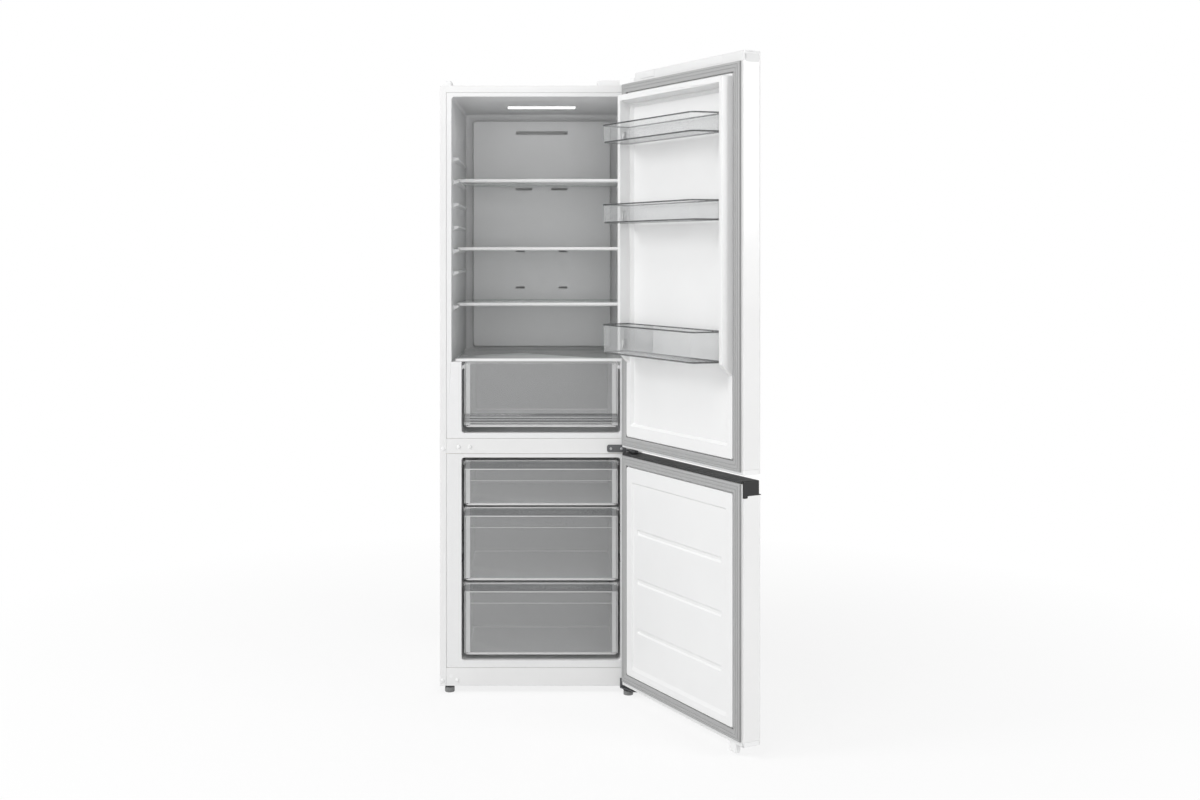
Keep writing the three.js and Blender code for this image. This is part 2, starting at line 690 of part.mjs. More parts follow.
const freezerLiner = () =>
  join(
    liner(freezerCavity, railTop + SEAT_GAP, mullionBottom - SEAT_GAP),
    drawerRunners(freezerDrawers[0], humpFront),
    drawerRunners(freezerDrawers[1], linerBack),
    drawerRunners(freezerDrawers[2], linerBack),
  );

// Foam fills what the sheets and liners leave, with room for each turned edge.
function cabinetFoam() {
  const grow = LINER_WALL + SEAT_GAP;
  const behindFlange = STEEL + LINER_WALL + SEAT_GAP;
  const x = half - SIDE_FLANGE;
  const side = polygon([
    [skinInside, railTop],
    [RAIL_DEPTH + 2, railTop],
    [RAIL_DEPTH + 2, floorPlateTop + SEAT_GAP],
    [machineFront - machineSlope - SEAT_GAP * 0.6, floorPlateTop + SEAT_GAP],
    [machineFront - SEAT_GAP, machineTop - machineSlope],
    [machineFront - SEAT_GAP, machineTop + SEAT_GAP],
    [backPanelFront - SEAT_GAP, machineTop + SEAT_GAP],
    [backPanelFront - SEAT_GAP, cabinetTop],
    [skinInside, cabinetTop],
  ]);
  const body = alongX(side, -half, half).intersect(
    alongY(archShape(skinInside, skinInside), 0, CABINET_DEPTH),
  );
  const lip = archBand(
    [SIDE_FLANGE - STEEL - SEAT_GAP, TOP_FLANGE - STEEL - SEAT_GAP],
    [SIDE_FLANGE + SEAT_GAP, TOP_FLANGE + SEAT_GAP],
    0,
    FLANGE_LIP + SEAT_GAP,
  );
  const channelGap = 2 * SEAT_GAP + STEEL;
  return cut(
    body,
    lip,
    block(-x, x, 0, behindFlange, mullionTop - SEAT_GAP, linerTop),
    block(-x, x, 0, behindFlange, railTop - 1, mullionBottom + SEAT_GAP),
    block(-x, x, 0, FLANGE_LIP + SEAT_GAP, mullionBottom, mullionBottom + channelGap),
    block(-x, x, 0, FLANGE_LIP + SEAT_GAP, mullionTop - channelGap, mullionTop),
    fridgeCavity(grow, -1),
    freezerCavity(grow, -1),
  );
}

// ---------------------------------------------------------------- hinges
const pinAt = (z0, z1) => upright(HINGE_PIN / 2, hinge.x, hinge.y, z0, z1);
const pinBore = (z0, z1) => upright(HINGE_PIN / 2 + PIN_CLEARANCE, hinge.x, hinge.y, z0, z1);
const ARM_RADIUS = 11;
const ARM_EDGE = 1.5; // right edge of the top hinge's arm from its pin
const hingePlateBack = -SEAT_GAP;
const hingePlateFront = -SEAT_GAP - HINGE_PLATE;

// An arm seen from above: from a root on the cabinet to a round end about the pin. Its right edge
// runs straight back from beside the pin, so that the open door's corner passes it.
function armShape(rootLeft, rootY, radius, edge) {
  const shape = new THREE.Shape();
  shape.moveTo(rootLeft, rootY);
  shape.lineTo(hinge.x - radius, hinge.y);
  shape.absarc(hinge.x, hinge.y, radius, Math.PI, 2 * Math.PI + Math.acos(edge / radius));
  shape.lineTo(hinge.x + edge, rootY);
  return shape;
}

const MID_HINGE_LEFT = half - 101.5;
const MID_HINGE_RIGHT = half - 47.5;
const MID_ARM = 5;
const midPlateBottom = mullionBottom + 6;
const midPlateTop = mullionTop - 16;
const midArmBottom = (lowerDoorTop + upperDoorBottom - MID_ARM) / 2;

// A plate on the mullion with an arm between the doors and a pin reaching up and down.
function midHinge() {
  const face = plate(MID_HINGE_LEFT, MID_HINGE_RIGHT, midPlateBottom, midPlateTop, 4);
  const arm = armShape(MID_HINGE_RIGHT - 26, hingePlateBack, ARM_RADIUS, ARM_RADIUS - 1);
  const reach = 19;
  const collar = (z0, z1) => upright(HINGE_PIN * 0.9, hinge.x, hinge.y, z0, z1);
  return join(
    alongY(face, hingePlateFront, hingePlateBack),
    alongZ(arm, midArmBottom, midArmBottom + MID_ARM),
    collar(lowerDoorTop + SEAT_GAP, upperDoorBottom - SEAT_GAP),
    pinAt(lowerDoorTop - reach, upperDoorBottom + reach),
  );
}

// A bent bracket under the base rail: a leg up its face, and an arm that carries pin and foot.
const BRACKET_LEFT = half - 65.5;
const bracketTop = CABINET_BASE - SEAT_GAP;
const BRACKET_LEG_TOP = 44;
function bottomHinge() {
  const legTop = BRACKET_LEG_TOP;
  const low = lowerDoorBottom - 2;
  const leg = polygon([
    [BRACKET_LEFT, bracketTop - HINGE_PLATE],
    [half - 1, bracketTop - HINGE_PLATE],
    [half - 1, low],
    [MID_HINGE_RIGHT, low],
    [MID_HINGE_RIGHT - 4, legTop],
    [BRACKET_LEFT, legTop],
  ]);
  const arm = new THREE.Shape();
  arm.moveTo(BRACKET_LEFT, RAIL_DEPTH - 6);
  arm.lineTo(BRACKET_LEFT, hingePlateBack - 12);
  arm.lineTo(hinge.x - ARM_RADIUS - 2, hinge.y - 2);
  arm.absarc(hinge.x, hinge.y - 2, ARM_RADIUS + 2, Math.PI, 2 * Math.PI);
  arm.lineTo(half - 1, hingePlateBack);
  arm.lineTo(half - 1, RAIL_DEPTH - 6);
  const body = join(
    alongY(leg, hingePlateFront, hingePlateBack),
    alongZ(arm, bracketTop - HINGE_PLATE, bracketTop),
    upright(HINGE_PIN * 0.9, hinge.x, hinge.y, bracketTop, lowerDoorBottom - SEAT_GAP),
    pinAt(bracketTop - HINGE_PLATE, lowerDoorBottom + 18),
  );
  const { x, y } = footRight;
  const hole = upright(FOOT_STEM / 2 + RUN_GAP, x, y, bracketTop - HINGE_PLATE - 1, bracketTop + 1);
  return cut(body, hole);
}

// A plate on the cabinet's top with a narrow arm over the door and a pin reaching down into it.
const TOP_HINGE_LEFT = half - 107.5;
const TOP_HINGE_BACK = 46;
const topHingeBottom = cabinetTop + SEAT_GAP;
const TOP_ARM_LIFT = 3;
function topHinge() {
  const base = plate(TOP_HINGE_LEFT, half - 8, 6, TOP_HINGE_BACK, 5);
  const armBottom = topHingeBottom + TOP_ARM_LIFT;
  const arm = armShape(hinge.x - ARM_RADIUS - 8, TOP_HINGE_BACK - 8, ARM_RADIUS, ARM_EDGE);
  return join(
    alongZ(base, topHingeBottom, topHingeBottom + HINGE_PLATE),
    alongZ(arm, armBottom - 0.5, armBottom + HINGE_PLATE),
    pinAt(cabinetTop - 22, armBottom + HINGE_PLATE),
  );
}

// A moulded hood over the top hinge, open underneath, that follows the arm out over the door.
const HOOD_LEFT = 166;
const HOOD_BACK = 72;
const HOOD_HEIGHT = 16;
const HOOD_WALL = 1.8;
function topHingeCover() {
  const outline = (inset) => {
    const shape = new THREE.Shape();
    const right = half - 4 - inset;
    const end = ARM_RADIUS + 4.5 - inset;
    const edge = ARM_EDGE + 2.5 - inset;
    shape.moveTo(HOOD_LEFT + inset, HOOD_BACK - inset);
    shape.lineTo(HOOD_LEFT + inset, 3 + inset);
    shape.lineTo(hinge.x - end - 26, 3 + inset);
    shape.lineTo(hinge.x - end, -18);
    shape.lineTo(hinge.x - end, hinge.y);
    shape.absarc(hinge.x, hinge.y, end, Math.PI, 2 * Math.PI + Math.acos(edge / end));
    shape.lineTo(hinge.x + edge, 3 + inset);
    shape.lineTo(right, 3 + inset);
    shape.lineTo(right, HOOD_BACK - inset);
    return shape;
  };
  const hood = alongZ(outline(0), topHingeBottom, topHingeBottom + HOOD_HEIGHT);
  const inside = alongZ(outline(HOOD_WALL), topHingeBottom - 1, topHingeBottom + HOOD_HEIGHT - HOOD_WALL);
  return cut(hood, inside);
}

// The smaller cap over the unused hinge holes on the other side.
function hingeBlankCover() {
  const left = -half + 1.5;
  const right = left + 33;
  const ring = (inset, z) => roundedRing([left + inset, right - inset, 12 + inset, 72 - inset], 5, atHeight(z));
  const height = HOOD_HEIGHT - 1;
  const hood = loft([ring(0, topHingeBottom), ring(1, topHingeBottom + height - 2), ring(3, topHingeBottom + height)]);
  const inside = loft([ring(HOOD_WALL, topHingeBottom - 1), ring(HOOD_WALL + 1, topHingeBottom + height - HOOD_WALL)]);
  return cut(hood, inside);
}

// ---------------------------------------------------------------- door shells
// The bent skin of a door seen from above, out to a given depth behind its face.
function skinShape(back, turnedIn) {
  const r = DOOR_CORNER;
  const x = half;
  const y = doorFront;
  const shape = new THREE.Shape();
  shape.moveTo(-x + turnedIn, back);
  if (turnedIn) shape.lineTo(-x, back);
  shape.lineTo(-x, y + r);
  shape.absarc(-x + r, y + r, r, Math.PI, 1.5 * Math.PI);
  shape.lineTo(x - r, y);
  shape.absarc(x - r, y + r, r, -Math.PI / 2, 0);
  shape.lineTo(x, back);
  if (turnedIn) {
    shape.lineTo(x - turnedIn, back);
    shape.lineTo(x - turnedIn, back - STEEL);
    shape.lineTo(x - STEEL, back - STEEL);
  } else shape.lineTo(x - STEEL, back);
  shape.lineTo(x - STEEL, y + r);
  shape.absarc(x - r, y + r, r - STEEL, 0, -Math.PI / 2, true);
  shape.lineTo(-x + r, y + STEEL);
  shape.absarc(-x + r, y + r, r - STEEL, -Math.PI / 2, -Math.PI, true);
  if (turnedIn) {
    shape.lineTo(-x + STEEL, back - STEEL);
    shape.lineTo(-x + turnedIn, back - STEEL);
  } else shape.lineTo(-x + STEEL, back);
  return shape;
}

// The face runs the whole height; the sides stop where the end caps begin.
const doorSkin = (bottom, top, sidesBottom, sidesTop) =>
  join(
    alongZ(skinShape(doorFront + SKIN_WRAP, 0), bottom, top),
    alongZ(skinShape(doorBack, SKIN_RETURN), sidesBottom, sidesTop),
  );

// What a door's end cap fills: flush with the sides, and tucked inside the skin's front corners.
function capShape() {
  const r = DOOR_CORNER;
  const shoulder = doorFront + SKIN_WRAP + SEAT_GAP;
  const shape = new THREE.Shape();
  shape.moveTo(-half, doorBack);
  shape.lineTo(-half, shoulder);
  shape.lineTo(-half + skinInside, shoulder);
  shape.absarc(-half + r, doorFront + r, r - skinInside, Math.PI, 1.5 * Math.PI);
  shape.absarc(half - r, doorFront + r, r - skinInside, -Math.PI / 2, 0);
  shape.lineTo(half - skinInside, shoulder);
  shape.lineTo(half, shoulder);
  shape.lineTo(half, doorBack);
  return shape;
}

// Foam inside the bent sides, seen from above.
const foamShape = () =>
  plate(
    -half + skinInside,
    half - skinInside,
    doorFront + skinInside,
    doorBack - skinInside,
    DOOR_CORNER - skinInside,
  );

// What lies behind a door liner's visible face, drawn back into the door by an inset: the flange
// under the gasket, the raised middle, its ridges, and the pockets pressed into it.
function innerForm({ bottom, top, plateau, ridges, pockets }, inset, flangeFace, margin) {
  const deep = 22 + margin;
  const side = half - DOOR_LINER_EDGE + margin;
  const face = -PLATEAU_FACE - inset;
  let form = block(-side, side, -deep, -flangeFace, bottom - margin, top + margin).add(
    taper(shrink(plateau, inset), -deep + 1, shrink(plateau, 2 + inset), face, 6),
  );
  for (const { base, crest, height } of ridges)
    form = form.add(taper(shrink(base, inset), -PLATEAU_FACE - 6, shrink(crest, inset), height - inset, 3));
  for (const { rim, depth, bevel, radius } of pockets)
    form = form.subtract(
      taper(shrink(rim, -inset - bevel), face + bevel, shrink(rim, bevel - inset), face - depth, radius),
    );
  return form;
}

// The sheet of a door liner, and the foam that backs it up to the door's skin.
const doorLiner = (form) =>
  innerForm(form, 0, DOOR_LINER_FLANGE, 0).subtract(
    innerForm(form, DOOR_LINER_WALL, DOOR_LINER_FLANGE + DOOR_LINER_WALL, 1),
  );

function doorFoam(form, sectionAlongX, foamBottom, foamTop) {
  const inset = DOOR_LINER_WALL + SEAT_GAP;
  const core = innerForm(form, inset, DOOR_GAP + skinInside, 1);
  const rearBlock = alongZ(foamShape(), foamBottom, foamTop);
  const pockets = innerForm({ ...form, ridges: [] }, inset, DOOR_GAP + skinInside, 1);
  const slab = cut(rearBlock, cut(block(-half, half, -22, 0, foamBottom - 2, foamTop + 2), pockets));
  const raised = core.intersect(block(-half + 20, half - 20, -20, 60, foamBottom, foamTop));
  return join(slab, raised).intersect(sectionAlongX);
}

// A soft magnetic seal: its section is carried round the door with mitred corners. Towards the
// door's edge it falls away, so that it swings clear of the cabinet beside the hinge.
function gasket(bottom, top) {
  const base = DOOR_LINER_FLANGE - SEAT_GAP;
  const section = [
    [0, base],
    [0, base - 2.6],
    [1.4, base - 3],
    [1.4, base - 3.8],
    [3, 3.6],
    [11.6, 0.45],
    [15, 0.4],
    [15.4, 1.2],
    [16.6, 1.2],
    [17, 0.4],
    [GASKET_WIDTH - 3, 0.4],
    [GASKET_WIDTH - 2.2, 1.6],
    [GASKET_WIDTH - 0.6, 3.2],
    [GASKET_WIDTH, base],
  ];
  const edge = half - GASKET_SIDE_INSET;
  const corners = [
    [-edge, bottom, 1, 1],
    [edge, bottom, -1, 1],
    [edge, top, -1, -1],
    [-edge, top, 1, -1],
  ];
  const rings = corners.map(([x, z, inX, inZ]) =>
    section.map(([across, out]) => new THREE.Vector3(x + inX * across, -out, z + inZ * across)),
  );
  return loft(rings, true);
}

// ---------------------------------------------------------------- upper door
const gasketTop = cabinetTop - GASKET_TOP_SETBACK;
const upperGasketBottom = upperDoorBottom + GASKET_END_INSET;
const lowerGasketBottom = lowerDoorBottom + GASKET_BOTTOM_SETBACK;
const lowerGasketTop = lowerDoorTop - HANDLE_BACK_FLANGE;
const plateauHalf = half - PLATEAU_INSET;
const dykeOuter = half - DYKE_INSET;
const dykeInner = dykeOuter - DYKE_WIDTH;
const dykeTop = fridgeCeiling - 6;
const dykeFoot = upperDoorBottom + DYKE_FOOT;
const topDykeBottom = dykeTop - TOP_DYKE_WIDTH;

const sideDyke = (side) => {
  const [a, b] = side < 0 ? [-dykeOuter, -dykeInner] : [dykeInner, dykeOuter];
  return {
    base: [a, b, dykeFoot, dykeTop + 2],
    crest: [a + DYKE_DRAFT, b - DYKE_DRAFT, dykeFoot + DYKE_FOOT_SLOPE, dykeTop],
    height: DYKE_PROJECTION,
  };
};

const upperForm = {
  bottom: upperDoorBottom + 2,
  top: upperDoorTop - TOP_CAP_HEIGHT - SEAT_GAP,
  plateau: [
    -plateauHalf,
    plateauHalf,
    upperGasketBottom + GASKET_WIDTH + 1,
    gasketTop - GASKET_WIDTH - 1,
  ],
  ridges: [
    sideDyke(-1),
    sideDyke(1),
    {
      base: [-dykeOuter, dykeOuter, topDykeBottom - TOP_DYKE_SLOPE, dykeTop + 2],
      crest: [-dykeOuter + DYKE_DRAFT, dykeOuter - DYKE_DRAFT, topDykeBottom, dykeTop],
      height: DYKE_PROJECTION,
    },
  ],
  pockets: [
    {
      rim: [
        -half + UPPER_POCKET_INSET,
        half - UPPER_POCKET_INSET,
        upperGasketBottom + 2.4 * GASKET_WIDTH,
        topDykeBottom - TOP_DYKE_SLOPE - POCKET_BEVEL,
      ],
      depth: UPPER_POCKET_DEPTH,
      bevel: POCKET_BEVEL,
      radius: 6,
    },
  ],
};

const capBoss = (z0, z1) => upright(PIN_BOSS / 2, hinge.x, hinge.y, z0, z1);
const bossRoom = (z0, z1) => upright(PIN_BOSS / 2 + SEAT_GAP, hinge.x, hinge.y, z0, z1);
const BOSS_LENGTH = 24;

function upperTopCap() {
  const bottom = upperDoorTop - TOP_CAP_HEIGHT;
  const notchFloor = cabinetTop + SEAT_GAP;
  const notch = block(half - CAP_NOTCH_WIDTH, half + 1, -DOOR_GAP - CAP_NOTCH_DEPTH, 0, notchFloor, upperDoorTop + 1);
  const recess = alongX(
    plate(doorFront + 12, doorBack - 3, bottom + 4, upperDoorTop - 3, 2),
    -half - 1,
    -half + 1.5,
  );
  const body = join(alongZ(capShape(), bottom, upperDoorTop), capBoss(bottom - BOSS_LENGTH, bottom + 0.5));
  return cut(body, notch, recess, pinBore(bottom - BOSS_LENGTH - 1, upperDoorTop));
}

function bottomCap(bottom) {
  const top = bottom + BOTTOM_CAP_HEIGHT;
  const body = join(alongZ(capShape(), bottom, top), capBoss(top - 0.5, top + BOSS_LENGTH / 2));
  return cut(body, pinBore(bottom - 1, top + BOSS_LENGTH / 2 + 1));
}

function upperFoam() {
  const bottom = upperDoorBottom + BOTTOM_CAP_HEIGHT + SEAT_GAP;
  const top = upperDoorTop - TOP_CAP_HEIGHT - SEAT_GAP;
  const whole = block(-half, half, doorFront, 60, bottom, top);
  return cut(
    doorFoam(upperForm, whole, bottom, top),
    bossRoom(bottom - 1, bottom + BOSS_LENGTH / 2 + 1),
    bossRoom(top - BOSS_LENGTH - 1, top + 1),
  );
}

// The lugs that a bin hangs on, formed out of both dykes' inner faces.
const lugBox = (bin, grow) => {
  const y0 = LUG_SETBACK - grow;
  const z0 = bin.bottom + LUG_RISE - grow;
  return [y0, y0 + LUG_WIDTH + 2 * grow, z0, z0 + LUG_HEIGHT + 2 * grow];
};
const lugs = (bin) =>
  bothSides((side) => {
    const inner = dykeInner - LUG_PROJECTION;
    const [x0, x1] = side < 0 ? [-dykeInner - 1, -inner] : [inner, dykeInner + 1];
    return alongX(plate(...lugBox(bin, 0), 2), x0, x1);
  });

const upperLiner = () => join(doorLiner(upperForm), ...bins.map(lugs));

// A bin: an open tray whose ends taper in towards rounded front corners, with a thicker rim.
function doorBin(bin) {
  const back = -PLATEAU_FACE + BIN_BACK_GAP + 1;
  const wide = dykeInner - BIN_SIDE_GAP;
  const ring = (inset, z) => {
    const x = wide - inset;
    const front = BIN_FRONT - inset;
    const r = BIN_CORNER - inset;
    const xFront = x - BIN_FRONT_INSET;
    const corner = (sign, from) =>
      Array.from({ length: ARC_STEPS + 1 }, (_, i) => {
        const angle = from + (i / ARC_STEPS) * (Math.PI / 2);
        return new THREE.Vector3(
          sign * (xFront - r) + r * Math.cos(angle),
          front - r + r * Math.sin(angle),
          z,
        );
      });
    return [
      new THREE.Vector3(x, back + inset, z),
      new THREE.Vector3(x, LUG_SETBACK + LUG_WIDTH + 10, z),
      ...corner(1, 0),
      ...corner(-1, Math.PI / 2),
      new THREE.Vector3(-x, LUG_SETBACK + LUG_WIDTH + 10, z),
      new THREE.Vector3(-x, back + inset, z),
    ];
  };
  const top = bin.bottom + bin.height;
  const tray = loft([
    ring(BIN_DRAFT, bin.bottom),
    ring(BIN_WALL - 1, top - BIN_RIM),
    ring(0, top - BIN_RIM),
    ring(0, top),
    ring(BIN_WALL + 0.4, top),
    ring(BIN_DRAFT + BIN_WALL, bin.bottom + BIN_WALL),
  ]);
  const hooks = bothSides((side) => {
    const x0 = side < 0 ? -wide + 1 : wide - LUG_PROJECTION - 3.5;
    const x1 = x0 + LUG_PROJECTION + 2.5;
    const [y0, y1] = lugBox(bin, 3);
    return block(x0, x1, y0, y1, bin.bottom + 0.5, bin.bottom + LUG_RISE + LUG_HEIGHT + 6);
  });
  const slots = bothSides((side) => {
    const inner = dykeInner - LUG_PROJECTION - RUN_GAP;
    const [x0, x1] = side < 0 ? [-half, -inner] : [inner, half];
    const [y0, y1, , z1] = lugBox(bin, RUN_GAP);
    return block(x0, x1, y0, y1, bin.bottom - 1, z1);
  });
  return cut(join(tray, hooks), slots);
}

// ---------------------------------------------------------------- lower door
const lipTop = lowerDoorTop - HANDLE_HEIGHT;
const lowerForm = {
  bottom: lowerDoorBottom + 2,
  top: lowerGasketTop - SEAT_GAP,
  plateau: [
    -plateauHalf,
    plateauHalf,
    lowerGasketBottom + GASKET_WIDTH + 1,
    lowerGasketTop - GASKET_WIDTH - 1,
  ],
  ridges: [],
  pockets: [
    {
      rim: [
        -half + LOWER_POCKET_INSET,
        half - LOWER_POCKET_INSET,
        lowerGasketBottom + GASKET_WIDTH + LOWER_POCKET_SILL,
        lowerGasketTop - GASKET_WIDTH - LOWER_POCKET_HEAD,
      ],
      depth: LOWER_POCKET_DEPTH,
      bevel: 2.5,
      radius: 6,
    },
    ...GROOVE_LEVELS.map((rise) => ({
      rim: [
        -half + GROOVE_INSET,
        half - GROOVE_INSET,
        lowerDoorBottom + rise - GROOVE_HEIGHT / 2,
        lowerDoorBottom + rise + GROOVE_HEIGHT / 2,
      ],
      depth: LOWER_POCKET_DEPTH + GROOVE_DEPTH,
      bevel: 2,
      radius: 3.5,
    })),
  ],
};

// The handle's section: a roof set back from the door's face, a back flange over the liner's edge,
// and a well behind the skin's upper edge, which the profile hooks over.
const handleSection = (() => {
  const out = (distance) => -(distance + DOOR_GAP);
  const top = lowerDoorTop;
  const wall = HANDLE_WALL;
  const flangeBack = -DOOR_LINER_FLANGE;
  const skinFace = DOOR_THICKNESS;
  const roofEdge = skinFace - HANDLE_SETBACK;
  const frontWall = skinFace - skinInside;
  const backWall = frontWall - wall - HANDLE_POCKET;
  const floor = lipTop - HANDLE_WELL;
  const hook = lipTop + SEAT_GAP;
  return { out, top, wall, flangeBack, skinFace, roofEdge, frontWall, backWall, floor, hook };
})();

function handleShape() {
  const { out, top, wall, flangeBack, skinFace, roofEdge, frontWall, backWall, floor, hook } = handleSection;
  const r = 9;
  const shape = new THREE.Shape();
  shape.moveTo(out(roofEdge), top);
  shape.lineTo(flangeBack, top);
  shape.lineTo(flangeBack, top - HANDLE_BACK_FLANGE);
  shape.lineTo(flangeBack - wall, top - HANDLE_BACK_FLANGE);
  shape.lineTo(flangeBack - wall, top - wall);
  shape.lineTo(out(backWall), top - wall);
  shape.lineTo(out(backWall), floor + r);
  shape.absarc(out(backWall + r), floor + r, r, 0, -Math.PI / 2, true);
  shape.absarc(out(frontWall - r), floor + r, r, -Math.PI / 2, -Math.PI, true);
  shape.lineTo(out(frontWall), hook);
  shape.lineTo(out(skinFace), hook);
  shape.lineTo(out(skinFace), hook + wall);
  shape.lineTo(out(frontWall - wall), hook + wall);
  shape.lineTo(out(frontWall - wall), floor + r);
  shape.absarc(out(frontWall - r), floor + r, r - wall, -Math.PI, -Math.PI / 2);
  shape.absarc(out(backWall + r), floor + r, r - wall, -Math.PI / 2, 0);
  shape.lineTo(out(backWall + wall), top - wall);
  shape.lineTo(out(roofEdge - wall), top - wall);
  shape.lineTo(out(roofEdge - wall), top - 2.5 * wall);
  shape.lineTo(out(roofEdge), top - 2.5 * wall);
  return shape;
}

const handleLeft = -half + HANDLE_END_PLATE + SEAT_GAP;
const handleRight = half - HINGE_PLUG_WIDTH - SEAT_GAP;
const handleProfile = () => alongX(handleShape(), handleLeft, handleRight);

// The visible end plate: flush with the skin below, stepped back above, with a screw tab inside.
function endPlateShape() {
  const { out, top, wall, skinFace, roofEdge, hook } = handleSection;
  return polygon([
    [doorBack, top],
    [out(roofEdge), top],
    [out(roofEdge), hook + wall],
    [out(skinFace), hook + wall],
    [out(skinFace), hook],
    [doorBack - END_TAB_WIDTH, hook],
    [doorBack - END_TAB_WIDTH, hook - END_TAB_HEIGHT],
    [doorBack, hook - END_TAB_HEIGHT],
  ]);
}

function handleEndCapLeft() {
  const { out, top, wall, roofEdge, backWall, floor } = handleSection;
  const inPocket = plate(
    out(roofEdge - wall - SEAT_GAP),
    out(backWall + wall + SEAT_GAP),
    floor + wall + SEAT_GAP + 9,
    top - 2.5 * wall - SEAT_GAP,
    3,
  );
  return join(
    alongX(endPlateShape(), -half, -half + HANDLE_END_PLATE),
    alongX(inPocket, -half + HANDLE_END_PLATE - 1, -half + HANDLE_END_PLATE + HANDLE_PLUG),
  );
}

// At the hinge the cap is a solid plug that holds the bush for the middle hinge's pin.
function handleEndCapRight() {
  const { out, top, roofEdge, frontWall, backWall, floor, hook } = handleSection;
  const left = half - HINGE_PLUG_WIDTH;
  const head = plate(out(roofEdge), doorBack, hook, top);
  const stem = plate(out(frontWall), out(backWall), floor, hook + 1);
  const body = join(
    alongX(endPlateShape(), half - HANDLE_END_PLATE, half),
    alongX(head, left, half - 1),
    alongX(stem, left, half - DOOR_CORNER),
  );
  return cut(body, pinBore(floor - 1, top + 1));
}

function lowerSkin() {
  const sidesBottom = lowerDoorBottom + BOTTOM_CAP_HEIGHT + SEAT_GAP;
  const tab = (side) => {
    const [x0, x1] = side < 0 ? [-half - 1, -half + 12] : [half - 12, half + 1];
    const y0 = doorBack - END_TAB_WIDTH - SEAT_GAP;
    return block(x0, x1, y0, doorBack + 1, lipTop - END_TAB_HEIGHT, lipTop + 1);
  };
  return cut(doorSkin(lowerDoorBottom, lipTop, sidesBottom, lipTop), tab(-1), tab(1));
}

function lowerFoam() {
  const { out, top, wall, backWall, floor } = handleSection;
  const bottom = lowerDoorBottom + BOTTOM_CAP_HEIGHT + SEAT_GAP;
  const crown = top - wall - SEAT_GAP;
  const section = polygon([
    [doorFront, bottom],
    [60, bottom],
    [60, lowerForm.top],
    [doorBack - skinInside, lowerForm.top],
    [doorBack - skinInside, crown],
    [out(backWall - SEAT_GAP), crown],
    [out(backWall - SEAT_GAP), floor - SEAT_GAP],
    [doorFront, floor - SEAT_GAP],
  ]);
  const tabs = bothSides((side) => {
    const [x0, x1] = side < 0 ? [-half, -half + 14] : [half - HINGE_PLUG_WIDTH - SEAT_GAP, half];
    return block(x0, x1, doorFront, 0, lipTop - END_TAB_HEIGHT - 1, top);
  });
  return cut(
    doorFoam(lowerForm, alongX(section, -half, half), bottom, crown),
    tabs,
    bossRoom(bottom - 1, bottom + BOSS_LENGTH / 2 + 1),
  );
}

// The lower cap also carries the block that the door's free end rides up on.
function lowerBottomCap() {
  const x0 = BLOCK_INSET - half;
  const x1 = x0 + BLOCK_WIDTH;
  const y0 = doorBack - BLOCK_DEPTH + 1;
  const ring = (inset, z) =>
    roundedRing([x0 + inset, x1 - inset, y0 + inset, doorBack + 1 - inset], 2.5, atHeight(z));
  const lift = loft([
    ring(2, lowerDoorBottom - BLOCK_DROP),
    ring(1, lowerDoorBottom - BLOCK_DROP + 4),
    ring(1, lowerDoorBottom + 2),
  ]).intersect(block(-half, half, doorFront, doorBack, 0, lowerDoorBottom + 2));
  return join(bottomCap(lowerDoorBottom), lift);
}

// ---------------------------------------------------------------- shelves, glass and panels
const shelfHalf = fridgeHalf - SHELF_SIDE_GAP;
const shelfGlassFront = SHELF_SETBACK + SHELF_TRIM_DEPTH - 6;
const shelfBack = linerBack - DUCT_PANEL_THICKNESS - 3;

const shelfGlass = (ledgeTop) =>
  alongZ(
    plate(-shelfHalf + 2, shelfHalf - 2, shelfGlassFront, shelfBack, 4),
    ledgeTop + SEAT_GAP,
    ledgeTop + SEAT_GAP + GLASS,
  );

// A front trim wrapped round the glass's edge, with a rounded nose.
function edgeTrim(width, front, depth, glassFront, glassBottom, height, drop) {
  const slotBottom = glassBottom - SEAT_GAP;
  const bottom = glassBottom - drop;
  const top = bottom + height;
  const back = front + depth;
  const shape = new THREE.Shape();
  const r = height / 2 - 1;
  shape.moveTo(back, top);
  shape.lineTo(front + r, top);
  shape.absarc(front + r, top - r, r, Math.PI / 2, Math.PI);
  shape.lineTo(front, bottom + r);
  shape.absarc(front + r, bottom + r, r, Math.PI, 1.5 * Math.PI);
  shape.lineTo(back, bottom);
  if (slotBottom > bottom) shape.lineTo(back, slotBottom);
  shape.lineTo(glassFront - SEAT_GAP, slotBottom);
  shape.lineTo(glassFront - SEAT_GAP, glassBottom + GLASS + SEAT_GAP);
  shape.lineTo(back, glassBottom + GLASS + SEAT_GAP);
  return alongX(shape, -width / 2, width / 2);
}

// Its lower part is cut away at both ends, where it passes over the ledges.
function shelfTrim(ledgeTop) {
  const seat = ledgeTop + SEAT_GAP;
  const y0 = SHELF_SETBACK;
  const bar = edgeTrim(2 * shelfHalf, y0, SHELF_TRIM_DEPTH, shelfGlassFront, seat, SHELF_TRIM_HEIGHT, 4);
  const overLedge = (side) => {
    const nose = ledgeNose - RUN_GAP;
    const [x0, x1] = side < 0 ? [-half, -nose] : [nose, half];
    return block(x0, x1, y0 - 1, y0 + SHELF_TRIM_DEPTH + 1, ledgeTop - LEDGE_HEIGHT, seat);
  };
  return cut(bar, overLedge(-1), overLedge(1));
}

